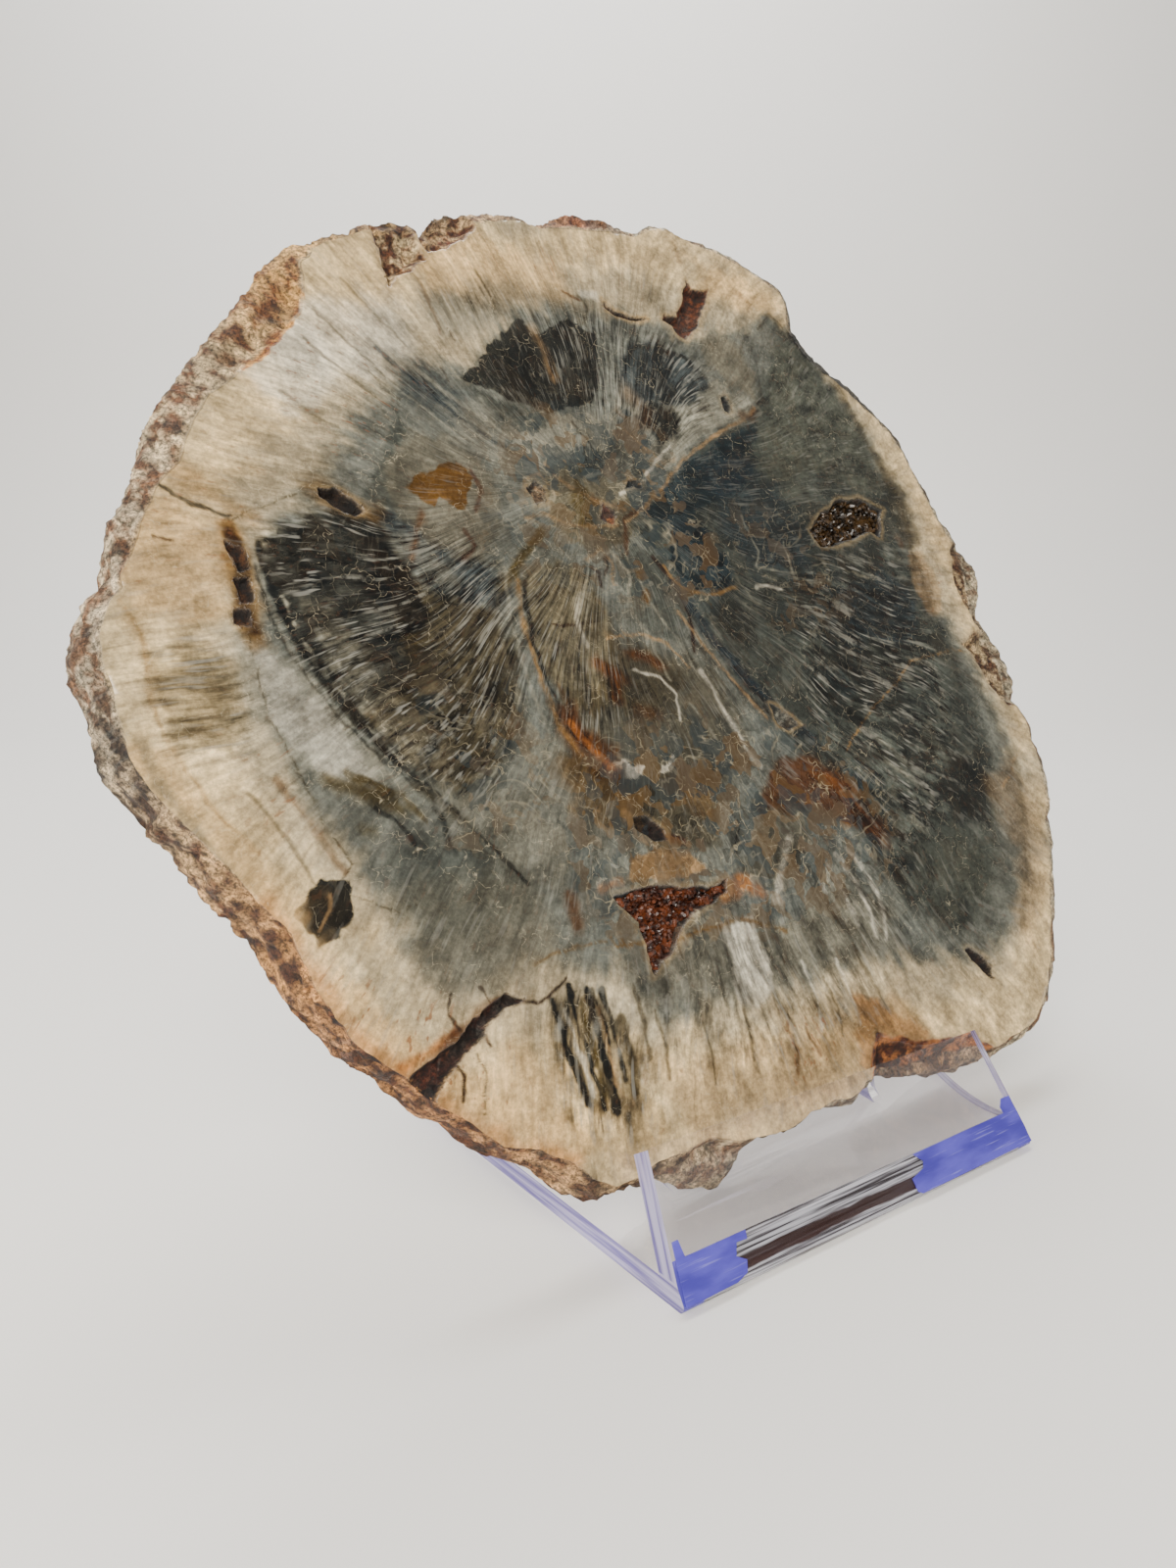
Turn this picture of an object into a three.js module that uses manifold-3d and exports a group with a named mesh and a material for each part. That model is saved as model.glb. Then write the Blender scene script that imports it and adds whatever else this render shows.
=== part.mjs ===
// A polished slice of petrified wood leaning on a bent clear acrylic easel.
// Millimetres, +Z up, +X to the right and +Y to the back.
// The origin is on the table, under the middle of the base's front land.
import * as THREE from "three";
import { mergeVertices } from "three/addons/utils/BufferGeometryUtils.js";
import Module from "manifold-3d";

const wasm = await Module();
wasm.setup();

// Driving dimensions
const SHEET = 5; // acrylic sheet
const STAND_WIDTH = 120;
const STAND_DEPTH = 120;
const LAND = 27; // base in front of the window, and the origin is at its middle
const LIP_LENGTH = 32.9; // up the slope
const LIP_LEAN = THREE.MathUtils.degToRad(32.2);
const LIP_TAPER = 3.5; // each end, from bottom to top
const FOLD_RADIUS = 1.5;
const TONGUE_WIDTH = 71;
const TONGUE_LENGTH = 74;
const TONGUE_RADIUS = 3;
const CORNER_RADIUS = 4;
const SLAB_LEAN = THREE.MathUtils.degToRad(24);
const SLAB_THICKNESS = 16;
const BACK_CHAMFER = 1.5;
const GAP = 0.3; // between pieces that touch
const FILM = 0.25;
const RIM_STEPS = 200;
const SMALL_BITE = 3; // below this radius a bite has fewer facets
const SLAB_CENTRE = [-8, 140]; // in the polished face, across and up the slope

// Where the slab's polished plane meets the base's top, just behind the lip's inner top corner
const LIP_INNER = [
  LIP_LENGTH * Math.sin(LIP_LEAN) + SHEET * Math.cos(LIP_LEAN),
  LIP_LENGTH * Math.cos(LIP_LEAN) - SHEET * Math.sin(LIP_LEAN),
];
const SLAB_FOOT =
  LIP_INNER[0] - (LIP_INNER[1] - SHEET) * Math.tan(SLAB_LEAN) + GAP / Math.cos(SLAB_LEAN);

// Slab outlines in the polished plane, clockwise from the lower left: across, up the slope.
// The polished face ends here. Its chips are cut out further down.
const FACE_EDGE = [
  [-72, 24.5], [-79, 29], [-87, 31.5], [-92, 37.5], [-98, 42.5], [-103, 49], [-109, 54],
  [-114, 60], [-118, 67], [-119, 73], [-121, 81], [-125, 87], [-129, 94], [-134, 101],
  [-138, 107], [-142, 112.5], [-144.5, 119], [-145, 128], [-146, 136], [-146, 143],
  [-142, 152], [-138, 159], [-135, 166], [-131, 174], [-125, 181], [-121, 190], [-116, 197],
  [-110, 202], [-104, 208], [-97, 215], [-91, 221], [-89, 228], [-89, 235], [-85, 239.5],
  [-78, 243], [-70, 247.5], [-57, 251], [-55, 249], [-52, 252], [-43, 257], [-36, 257.5],
  [-30, 259], [-22, 261], [-15, 260], [-4, 262], [4, 263], [10, 264.5], [19, 264.5],
  [27, 269.5], [34, 270], [42, 267.5], [53, 265.5], [62, 262.5], [70, 259], [75.5, 256],
  [76, 251], [73.5, 243], [78, 236.5], [81, 231.5], [85, 229], [90, 226], [97, 220.5],
  [104, 214], [109, 209], [112, 204], [113, 199], [116, 189.5], [120, 178], [123, 172],
  [126, 167], [129, 160], [127.5, 153], [123, 141.5], [127, 136], [130, 130], [131.5, 120],
  [129.5, 116], [133, 104.5], [132, 100], [133, 97], [132.5, 92], [130, 80], [126, 75],
  [124.5, 67], [118, 55], [114, 46], [108, 35.5], [101.5, 26.5], [96.5, 22], [90.5, 18],
  [84, 17], [75, 15.5], [60, 15.5], [40, 16], [20, 18.5], [17, 18], [12, 15.5], [3, 16.5],
  [-5, 16], [-13, 14], [-21, 15], [-29, 16], [-36, 19], [-44, 18], [-52, 18], [-57, 16.5],
  [-63, 16.5], [-68, 20],
];
// The rim's widest line: across, up the slope, depth behind the polished face
const RIM_EDGE = [
  [-71, 18, 9], [-75, 23.5, 9], [-85.5, 30, 9], [-94, 37.5, 9], [-103, 47, 9], [-113, 57.5, 9],
  [-120, 68.5, 9], [-124, 79, 9], [-125, 83, 9], [-133.5, 93.5, 9], [-138, 103, 9],
  [-141.5, 106, 9], [-141.5, 109, 9], [-146, 115.5, 9], [-148, 120, 8], [-149, 133, 8],
  [-151, 139.5, 8], [-151, 142, 8], [-149, 148, 8], [-146.5, 153, 7], [-142.5, 157, 6],
  [-142, 161, 6], [-140, 170, 6], [-136.5, 175, 6], [-133, 183.5, 6], [-128, 195, 6],
  [-121.5, 204, 6], [-114, 212.5, 5], [-105, 224, 5], [-98, 234, 5], [-93, 239, 5],
  [-89.5, 242, 3], [-86, 242, 2], [-79, 246, 2], [-75, 247, 2], [-70.5, 251, 3], [-65.5, 253.5, 4],
  [-55.5, 255, 4], [-53, 252, 4], [-50, 255, 4], [-48, 258, 4], [-43, 261.5, 4], [-34, 262.5, 3],
  [-22.5, 264.5, 2], [-18, 262.5, 2], [-13, 263.5, 2], [-7, 268, 3], [3, 270, 3], [10, 271.5, 3],
  [11.5, 268.5, 2], [22, 268, 2], [27, 272.5, 2], [35, 273, 2], [42, 270.5, 2], [56, 268.5, 2],
  [68.5, 264.5, 2], [78.5, 260, 2], [80, 255, 2], [79, 248, 2], [77.5, 244, 2], [81.5, 239.5, 2],
  [85, 234.5, 2], [93, 229.5, 2], [104, 221, 2], [113, 212, 2], [116, 207, 2], [118, 198, 2],
  [122, 185, 2], [124, 179.5, 2], [128.5, 174.5, 3], [134, 167.5, 4], [137, 162, 4],
  [137, 159, 4], [133, 149.5, 4], [129.5, 147.5, 3], [128.5, 142.5, 3], [133, 138.5, 4],
  [138, 131.5, 4], [139, 121, 4], [134, 112.5, 2], [137.5, 105, 2], [136, 100.5, 2],
  [137.5, 98, 2], [137, 93, 2], [134.5, 80, 2], [134, 77, 2], [130.5, 75, 2], [129, 67, 2],
  [122.5, 55, 2], [118.5, 45, 2], [109.5, 30, 2], [102, 21, 3], [98, 20, 3], [96, 16.5, 3],
  [92, 15, 3], [85, 13.5, 4], [75.5, 11.5, 9], [70, 8.5, 14], [63, 7.2, 16], [54, 7.2, 16],
  [46, 8.5, 16], [36, 11, 13], [24, 15, 8], [18, 13.5, 6], [13, 11.5, 6], [7, 13, 6], [2, 14, 6],
  [-3, 12, 8], [-13, 11.5, 8], [-23, 11, 10], [-27, 8.5, 10], [-29.5, 5.5, 10], [-33, 4.8, 10],
  [-38, 6, 10], [-44, 9, 9], [-50, 12, 9], [-54, 16.5, 6], [-57, 13.5, 8], [-65, 14, 8],
];

// Hollows, chips and the open crack are bitten out of the face: across, up the slope, radius
const RIGHT_HOLLOW = {
  depth: 5,
  bites: [[61, 172, 4.5], [67, 174, 6], [74, 176.5, 6.5], [81, 179, 6], [87, 178, 5.5], [91, 180, 3.2]],
};
const LOWER_HOLLOW = {
  depth: 5,
  bites: [
    [-43, 75.5, 2.2], [-38, 73, 4.8], [-31, 71.5, 6], [-24, 73.5, 3.6], [-18, 74, 2.2],
    [-37, 64.5, 3.4], [-39.5, 60.5, 1.8],
  ],
};
const HOLLOWS = [
  { depth: 3, bites: [[41, 251, 2.8], [38, 249, 3.6], [33.5, 245.5, 4.2], [28.5, 240.5, 4], [26, 236, 3]] },
  { depth: 2, bites: [[2.5, 238, 1.4], [6.5, 236.3, 1.6], [11, 235.8, 1.6]] },
  { depth: 3.5, bites: [[-32, 92.5, 2.6], [-29.5, 90, 2.4]] },
  { depth: 3, bites: [[-94, 174.5, 1.8], [-91, 173.5, 2.4], [-88, 172.5, 1.9]] },
  { depth: 3, bites: [[71.5, 42, 1.6], [73.8, 38.5, 1.7], [76.5, 36, 1.7]] },
  { depth: 2, bites: [[-38, 179, 2.3], [-18, 174, 1.9], [-7, 183, 1.7], [-13, 96, 3]] },
  { depth: 2, bites: [[37, 211, 1.3], [22, 118.5, 1.4], [25, 115, 2.3], [28, 113, 1.4]] },
  { depth: 2, bites: [[-117, 160, 1.5], [-116.3, 153.5, 1.7], [-117.5, 147.3, 1.6]] },
];
const CRACK = {
  depth: 3,
  bites: [
    [-101, 47, 2.6], [-98.5, 49, 2.4], [-95.5, 51, 2], [-92.5, 52.8, 1.8], [-89.5, 54.5, 1.7],
    [-86.5, 56.8, 1.6], [-83.5, 58.8, 1.4], [-80.5, 59.8, 1.3], [-77.5, 59.2, 1.2], [-74.5, 58.4, 1.1],
  ],
};
const CHIPS = [
  { depth: 5, bites: [[-64, 250, 6], [-66, 243, 4], [-65.5, 236, 3.6], [-60, 243, 4.5], [-57, 249, 5]] },
  { depth: 5, bites: [[-50, 251, 6], [-44, 256, 6], [-39, 257.5, 4]] },
  { depth: 4, bites: [[-11, 266, 3.6], [-5, 266.5, 4.4], [1, 267, 4], [6, 267.5, 3.4]] },
  { depth: 4, bites: [[127, 164, 5], [124.5, 157, 5.5], [125, 149, 5], [124, 143, 3.4]] },
  { depth: 4, bites: [[117, 133, 4], [121.5, 136, 4.5], [122, 128, 6], [128, 130, 6], [126, 120, 6], [130, 117, 3.6]] },
  { depth: 6, bites: [[24, 21, 6], [32, 19, 8], [41, 17, 8], [51, 16, 7.5], [60, 15, 6], [67, 13.5, 4]] },
  { depth: 5, bites: [[-38, 12, 6], [-30, 11, 5]] },
  { depth: 4, bites: [[-103, 222, 6], [-99, 228, 6], [-93, 230, 4], [-110, 213, 5]] },
];
const CRYSTAL_SPACING = 3.1;
const CRYSTAL_SIZE = 1.7;

// A closed three.js geometry as a solid
function solidOf(geometry) {
  const bare = geometry.clone();
  bare.deleteAttribute("normal");
  bare.deleteAttribute("uv");
  const merged = mergeVertices(bare, 1e-4);
  return new wasm.Manifold(
    new wasm.Mesh({
      numProp: 3,
      vertProperties: new Float32Array(merged.attributes.position.array),
      triVerts: new Uint32Array(merged.index.array),
    }),
  );
}

function geometryOf(solid) {
  const mesh = solid.getMesh();
  const geometry = new THREE.BufferGeometry();
  geometry.setAttribute("position", new THREE.BufferAttribute(new Float32Array(mesh.vertProperties), 3));
  geometry.setIndex(new THREE.BufferAttribute(new Uint32Array(mesh.triVerts), 1));
  const faceted = geometry.toNonIndexed();
  faceted.computeVertexNormals();
  return faceted;
}

function union(solids) {
  return solids.reduce((whole, solid) => whole.add(solid));
}

// A repeatable number from 0 to 1 for a whole number
function scatter(seed) {
  const wave = Math.sin(seed * 127.1 + 11.7) * 43758.5453;
  return wave - Math.floor(wave);
}

// A prism of a section in Y and Z, centred on X
function crossPrism(section, width) {
  const geometry = new THREE.ExtrudeGeometry(section, { depth: width, bevelEnabled: false, curveSegments: 10 });
  geometry.translate(0, 0, -width / 2);
  geometry.applyMatrix4(new THREE.Matrix4().makeBasis(
    new THREE.Vector3(0, 1, 0),
    new THREE.Vector3(0, 0, 1),
    new THREE.Vector3(1, 0, 0),
  ));
  return solidOf(geometry);
}

// Radius of an outline at an angle about the slab's centre, and its depth where it has one
function outlineAt(outline, angle) {
  const polar = outline
    .map(([across, up, depth = 0]) => {
      const x = across - SLAB_CENTRE[0];
      const y = up - SLAB_CENTRE[1];
      return { angle: Math.atan2(y, x), radius: Math.hypot(x, y), depth };
    })
    .sort((a, b) => a.angle - b.angle);
  const after = polar.findIndex((point) => point.angle >= angle);
  const high = polar[after < 0 ? 0 : after];
  const low = polar[after <= 0 ? polar.length - 1 : after - 1];
  const turn = 2 * Math.PI;
  const span = (high.angle - low.angle + turn) % turn || 1;
  const share = ((angle - low.angle + turn) % turn) / span;
  return {
    radius: THREE.MathUtils.lerp(low.radius, high.radius, share),
    depth: THREE.MathUtils.lerp(low.depth, high.depth, share),
  };
}

// Lumps and ledges of the bark rim
function rimLump(angle, depth) {
  const broad = Math.sin(23 * angle + 0.5 * depth) * 0.35;
  const middle = Math.sin(47 * angle - 0.9 * depth + 1.7) * 0.35;
  const fine = Math.sin(101 * angle + 1.9 * depth + 0.6) * 0.3;
  return broad + middle + fine - 0.6;
}

// The rough slice before its hollows are cut, in its own axes: X across, Y up the slope, Z out of the face
function slabBlank() {
  const rings = [
    { reach: 0, along: 0 },
    { reach: 0.35, along: 0.12 },
    { reach: 0.62, along: 0.35 },
    { reach: 0.85, along: 0.65 },
    { reach: 1, along: 1 },
    { reach: 0.95, along: 1.85 },
    { reach: 0.92, along: 2, chamfer: BACK_CHAMFER },
  ];
  const positions = [];
  const ringPoints = rings.map(() => []);
  for (let step = 0; step < RIM_STEPS; step++) {
    const angle = -Math.PI + (2 * Math.PI * step) / RIM_STEPS;
    const face = outlineAt(FACE_EDGE, angle);
    const rim = outlineAt(RIM_EDGE, angle);
    rings.forEach(({ reach, along, chamfer = 0 }, ring) => {
      const depth = along <= 1
        ? along * rim.depth
        : rim.depth + (along - 1) * (SLAB_THICKNESS - rim.depth);
      const rough = ring > 0 && ring < rings.length - 1 ? rimLump(angle, depth) : 0;
      const radius = THREE.MathUtils.lerp(face.radius, rim.radius, reach) + rough - chamfer;
      const across = SLAB_CENTRE[0] + radius * Math.cos(angle);
      const up = SLAB_CENTRE[1] + radius * Math.sin(angle);
      const floor = (GAP + depth * Math.sin(SLAB_LEAN)) / Math.cos(SLAB_LEAN) + chamfer;
      ringPoints[ring].push(new THREE.Vector2(across, Math.max(up, floor)));
      positions.push(across, Math.max(up, floor), -depth);
    });
  }
  const at = (step, ring) => (step % RIM_STEPS) * rings.length + ring;
  const triangles = [];
  for (let step = 0; step < RIM_STEPS; step++) {
    for (let ring = 0; ring < rings.length - 1; ring++) {
      triangles.push(at(step, ring), at(step, ring + 1), at(step + 1, ring + 1));
      triangles.push(at(step, ring), at(step + 1, ring + 1), at(step + 1, ring));
    }
  }
  const last = rings.length - 1;
  THREE.ShapeUtils.triangulateShape(ringPoints[0], []).forEach(([a, b, c]) => {
    triangles.push(at(a, 0), at(b, 0), at(c, 0));
  });
  THREE.ShapeUtils.triangulateShape(ringPoints[last], []).forEach(([a, b, c]) => {
    triangles.push(at(c, last), at(b, last), at(a, last));
  });
  const geometry = new THREE.BufferGeometry();
  geometry.setAttribute("position", new THREE.Float32BufferAttribute(positions, 3));
  geometry.setIndex(triangles);
  return solidOf(geometry);
}

// A lump with flat facets, centred on the polished plane, that bites a hollow
function bite([across, up, radius], depth, seed, shrink = 0) {
  const geometry = new THREE.IcosahedronGeometry(1, radius < SMALL_BITE ? 0 : 1);
  geometry.rotateX(seed * 1.3);
  geometry.rotateY(seed * 0.7);
  geometry.scale(radius - shrink, radius * (0.9 + 0.2 * scatter(seed)) - shrink, depth - shrink);
  geometry.translate(across, up, 0);
  return solidOf(geometry);
}

function hollow({ depth, bites }, shrink = 0) {
  return union(bites.map((place, i) => bite(place, depth * (0.8 + 0.3 * scatter(i + 3)), i + place[0], shrink)));
}

// The druse that lines a hollow: a thin floor with pointed crystals, clear of the hollow's walls
function crystalCrust(space) {
  const crustTop = -0.55 * space.depth;
  const xs = space.bites.map((place) => place[0]);
  const ys = space.bites.map((place) => place[1]);
  const margin = 8;
  const size = [Math.max(...xs) - Math.min(...xs) + 2 * margin, Math.max(...ys) - Math.min(...ys) + 2 * margin];
  const middle = [(Math.max(...xs) + Math.min(...xs)) / 2, (Math.max(...ys) + Math.min(...ys)) / 2];
  const floor = new THREE.BoxGeometry(size[0], size[1], 8);
  floor.translate(middle[0], middle[1], crustTop - 4);
  const growth = [solidOf(floor)];
  for (let i = 0; i * CRYSTAL_SPACING < size[0]; i++) {
    for (let j = 0; j * CRYSTAL_SPACING < size[1]; j++) {
      const seed = 31 * i + 7 * j;
      const point = new THREE.ConeGeometry(CRYSTAL_SIZE * (0.7 + 0.5 * scatter(seed)), 3.4, 6);
      point.rotateX(Math.PI / 2 + 0.9 * (scatter(seed + 1) - 0.5));
      point.rotateY(0.9 * (scatter(seed + 2) - 0.5));
      point.translate(
        middle[0] - size[0] / 2 + (i + 0.5 * scatter(seed + 4)) * CRYSTAL_SPACING,
        middle[1] - size[1] / 2 + (j + 0.5 * scatter(seed + 5)) * CRYSTAL_SPACING,
        crustTop - 0.2,
      );
      growth.push(solidOf(point));
    }
  }
  const lining = hollow(space, GAP).intersect(union(growth));
  return lining.decompose().reduce((most, part) => (part.volume() > most.volume() ? part : most));
}

function slabSolid() {
  const cuts = [RIGHT_HOLLOW, LOWER_HOLLOW, ...HOLLOWS, CRACK, ...CHIPS].map((space) => hollow(space));
  return slabBlank().subtract(union(cuts));
}

// The lip and base: one sheet folded sharply along the front edge
function foldedSheet() {
  const back = STAND_DEPTH;
  const fold = (Math.PI / 2 - LIP_LEAN) / 2;
  const setback = FOLD_RADIUS / Math.tan(fold);
  const slope = [Math.sin(LIP_LEAN), Math.cos(LIP_LEAN)];
  const inward = [Math.cos(LIP_LEAN), -Math.sin(LIP_LEAN)];
  const lipTop = [slope[0] * LIP_LENGTH, slope[1] * LIP_LENGTH];
  const innerTop = [lipTop[0] + inward[0] * SHEET, lipTop[1] + inward[1] * SHEET];
  const innerFold = innerTop[0] - (innerTop[1] - SHEET) * Math.tan(LIP_LEAN);
  const section = new THREE.Shape();
  section.moveTo(back, 0);
  section.lineTo(back, SHEET);
  section.lineTo(innerFold, SHEET);
  section.lineTo(...innerTop);
  section.lineTo(...lipTop);
  section.absarc(setback, FOLD_RADIUS, FOLD_RADIUS, Math.PI - LIP_LEAN, 1.5 * Math.PI, false);
  section.closePath();
  return crossPrism(section, STAND_WIDTH);
}

// The tongue that holds the slab's back, with its bend down into the base
function tongueSolid(front) {
  const turn = Math.PI / 2 - SLAB_LEAN;
  const tangent = TONGUE_RADIUS * Math.tan(turn / 2);
  const start = front - tangent;
  const slope = [Math.sin(SLAB_LEAN), Math.cos(SLAB_LEAN)];
  const through = [Math.cos(SLAB_LEAN), -Math.sin(SLAB_LEAN)];
  const top = [front + slope[0] * TONGUE_LENGTH, SHEET + slope[1] * TONGUE_LENGTH];
  const outer = TONGUE_RADIUS + SHEET;
  const section = new THREE.Shape();
  section.moveTo(start - 2, 0);
  section.lineTo(start, 0);
  section.absarc(start, outer, outer, -Math.PI / 2, -SLAB_LEAN, false);
  section.lineTo(top[0] + through[0] * SHEET, top[1] + through[1] * SHEET);
  section.lineTo(...top);
  section.absarc(start, outer, TONGUE_RADIUS, -SLAB_LEAN, -Math.PI / 2, true);
  section.lineTo(start - 2, SHEET);
  section.closePath();
  return crossPrism(section, TONGUE_WIDTH);
}

function standSolid() {
  const slabBack = SLAB_FOOT + (SLAB_THICKNESS + GAP) / Math.cos(SLAB_LEAN);
  const turn = Math.PI / 2 - SLAB_LEAN;
  const start = slabBack - TONGUE_RADIUS * Math.tan(turn / 2);
  const developed = turn * (TONGUE_RADIUS + SHEET / 2) + TONGUE_LENGTH - TONGUE_RADIUS * Math.tan(turn / 2);
  const opening = new THREE.BoxGeometry(TONGUE_WIDTH, developed, 3 * SHEET);
  opening.translate(0, start + developed / 2, 0.5 * SHEET);
  const plan = new THREE.Shape();
  const half = STAND_WIDTH / 2;
  const slopeRun = LIP_TAPER;
  plan.moveTo(-half, -1);
  plan.lineTo(half, -1);
  plan.lineTo(half, STAND_DEPTH - CORNER_RADIUS);
  plan.absarc(half - CORNER_RADIUS, STAND_DEPTH - CORNER_RADIUS, CORNER_RADIUS, 0, Math.PI / 2, false);
  plan.absarc(CORNER_RADIUS - half, STAND_DEPTH - CORNER_RADIUS, CORNER_RADIUS, Math.PI / 2, Math.PI, false);
  plan.closePath();
  const planPrism = new THREE.ExtrudeGeometry(plan, { depth: 200, bevelEnabled: false, curveSegments: 6 });
  planPrism.translate(0, 0, -10);
  const lipTop = LIP_LENGTH * Math.cos(LIP_LEAN);
  const frontView = new THREE.Shape([
    new THREE.Vector2(-half, -1),
    new THREE.Vector2(half, -1),
    new THREE.Vector2(half, SHEET),
    new THREE.Vector2(half - slopeRun, lipTop),
    new THREE.Vector2(half - slopeRun, 150),
    new THREE.Vector2(slopeRun - half, 150),
    new THREE.Vector2(slopeRun - half, lipTop),
    new THREE.Vector2(-half, SHEET),
  ]);
  const frontPrism = new THREE.ExtrudeGeometry(frontView, { depth: 400, bevelEnabled: false });
  frontPrism.rotateX(Math.PI / 2);
  frontPrism.translate(0, 300, 0);
  return foldedSheet()
    .subtract(solidOf(opening))
    .add(tongueSolid(slabBack))
    .intersect(solidOf(planPrism))
    .intersect(solidOf(frontPrism));
}

// Film remnants on the lip's outer face: across, up the lip's slope
const FILM_LEFT = [
  [-59.6, 2], [-45.5, 2.2], [-42.3, 3.2], [-41.4, 5.5], [-43.8, 6.9], [-42.6, 9.4], [-39.6, 9.2],
  [-39.3, 11], [-56.2, 11], [-56.6, 14.5], [-58.2, 14.5],
];
const FILM_RIGHT = [
  [13.7, 2.8], [15, 2], [59.6, 2], [58.2, 14.4], [54.9, 14.5], [53.3, 12.6], [53.6, 11], [16.5, 10.9],
  [19.1, 8.5], [18.2, 7.1], [13.4, 5.9],
];

function filmGeometry(outline) {
  const shape = new THREE.Shape(outline.map(([across, up]) => new THREE.Vector2(across, up)));
  return new THREE.ExtrudeGeometry(shape, { depth: FILM, bevelEnabled: false });
}

// Materials
const stone = new THREE.MeshStandardMaterial({ color: 0x8a877c, roughness: 0.25, metalness: 0 });
const darkCrystal = new THREE.MeshStandardMaterial({ color: 0x4a2f1e, roughness: 0.3, metalness: 0 });
const rustCrystal = new THREE.MeshStandardMaterial({ color: 0x5e2412, roughness: 0.5, metalness: 0 });
const acrylic = new THREE.MeshStandardMaterial({
  color: 0xf1f0f8,
  roughness: 0.03,
  metalness: 0,
  transparent: true,
  opacity: 0.35,
});
const film = new THREE.MeshStandardMaterial({ color: 0x6a62c8, roughness: 0.4, metalness: 0 });

function piece(name, geometry, material) {
  const mesh = new THREE.Mesh(geometry, material);
  mesh.name = name;
  return mesh;
}

const object = new THREE.Group();
object.position.y = -LAND / 2;

// The slab's own axes turn so that its face leans back
const slabPose = new THREE.Group();
slabPose.position.set(0, SLAB_FOOT, SHEET);
slabPose.rotation.x = Math.PI / 2 - SLAB_LEAN;
slabPose.add(piece("slab", geometryOf(slabSolid()), stone));
slabPose.add(piece("crystal_crust_right", geometryOf(crystalCrust(RIGHT_HOLLOW)), darkCrystal));
slabPose.add(piece("crystal_crust_lower", geometryOf(crystalCrust(LOWER_HOLLOW)), rustCrystal));

// The film lies on the lip's outer face, which leans back from the fold
const lipPose = new THREE.Group();
lipPose.rotation.x = Math.PI / 2 - LIP_LEAN;
const filmPose = new THREE.Group();
filmPose.position.z = FILM;
filmPose.add(piece("film_left", filmGeometry(FILM_LEFT), film));
filmPose.add(piece("film_right", filmGeometry(FILM_RIGHT), film));
lipPose.add(filmPose);

object.add(slabPose, piece("display_stand", geometryOf(standSolid()), acrylic), lipPose);

export default object;
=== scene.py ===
import math

import bmesh
import bpy
import numpy as np
from mathutils import Matrix, Vector


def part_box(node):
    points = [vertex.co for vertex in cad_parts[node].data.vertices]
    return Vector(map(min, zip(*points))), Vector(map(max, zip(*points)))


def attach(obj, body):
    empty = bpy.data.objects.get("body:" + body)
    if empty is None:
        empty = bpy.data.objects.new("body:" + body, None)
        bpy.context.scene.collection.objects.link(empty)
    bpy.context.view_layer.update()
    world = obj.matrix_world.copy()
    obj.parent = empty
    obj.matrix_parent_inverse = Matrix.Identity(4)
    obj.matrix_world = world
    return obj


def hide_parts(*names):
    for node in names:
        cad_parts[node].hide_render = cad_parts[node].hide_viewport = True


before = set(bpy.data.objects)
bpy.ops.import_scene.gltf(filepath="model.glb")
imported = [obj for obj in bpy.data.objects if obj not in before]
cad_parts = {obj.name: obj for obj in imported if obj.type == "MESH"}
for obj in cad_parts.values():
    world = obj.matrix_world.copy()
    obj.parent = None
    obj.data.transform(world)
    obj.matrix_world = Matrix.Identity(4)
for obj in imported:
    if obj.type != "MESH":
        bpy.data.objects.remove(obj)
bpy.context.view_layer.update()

mm = 0.001

# The slice stands in its own plane: across, up the slope and depth behind the polished face, in mm
slabPlane = {
    "lean": math.radians(24),
    "footY": -0.391,  # where the polished plane meets the top of the base
    "footZ": 5.0,
    "middle": (-8.0, 140.0),
    "pith": (-21.0, 174.0),
    "thickness": 16.0,
    "arcRadius": 130,  # turns an angle about the middle into mm along the rim
    "restGap": 0.3,  # between the stone and the top of the base
}

faceEdge = [
    (-72, 24.5), (-79, 29), (-87, 31.5), (-92, 37.5), (-98, 42.5), (-103, 49), (-109, 54),
    (-114, 60), (-118, 67), (-119, 73), (-121, 81), (-125, 87), (-129, 94), (-134, 101),
    (-138, 107), (-142, 112.5), (-144.5, 119), (-145, 128), (-146, 136), (-146, 143),
    (-142, 152), (-138, 159), (-135, 166), (-131, 174), (-125, 181), (-121, 190), (-116, 197),
    (-110, 202), (-104, 208), (-97, 215), (-91, 221), (-89, 228), (-89, 235), (-85, 239.5),
    (-78, 243), (-70, 247.5), (-57, 251), (-55, 249), (-52, 252), (-43, 257), (-36, 257.5),
    (-30, 259), (-22, 261), (-15, 260), (-4, 262), (4, 263), (10, 264.5), (19, 264.5),
    (27, 269.5), (34, 270), (42, 267.5), (53, 265.5), (62, 262.5), (70, 259), (75.5, 256),
    (76, 251), (73.5, 243), (78, 236.5), (81, 231.5), (85, 229), (90, 226), (97, 220.5),
    (104, 214), (109, 209), (112, 204), (113, 199), (116, 189.5), (120, 178), (123, 172),
    (126, 167), (129, 160), (127.5, 153), (123, 141.5), (127, 136), (130, 130), (131.5, 120),
    (129.5, 116), (133, 104.5), (132, 100), (133, 97), (132.5, 92), (130, 80), (126, 75),
    (124.5, 67), (118, 55), (114, 46), (108, 35.5), (101.5, 26.5), (96.5, 22), (90.5, 18),
    (84, 17), (75, 15.5), (60, 15.5), (40, 16), (20, 18.5), (17, 18), (12, 15.5), (3, 16.5),
    (-5, 16), (-13, 14), (-21, 15), (-29, 16), (-36, 19), (-44, 18), (-52, 18), (-57, 16.5),
    (-63, 16.5), (-68, 20),
]
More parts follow.
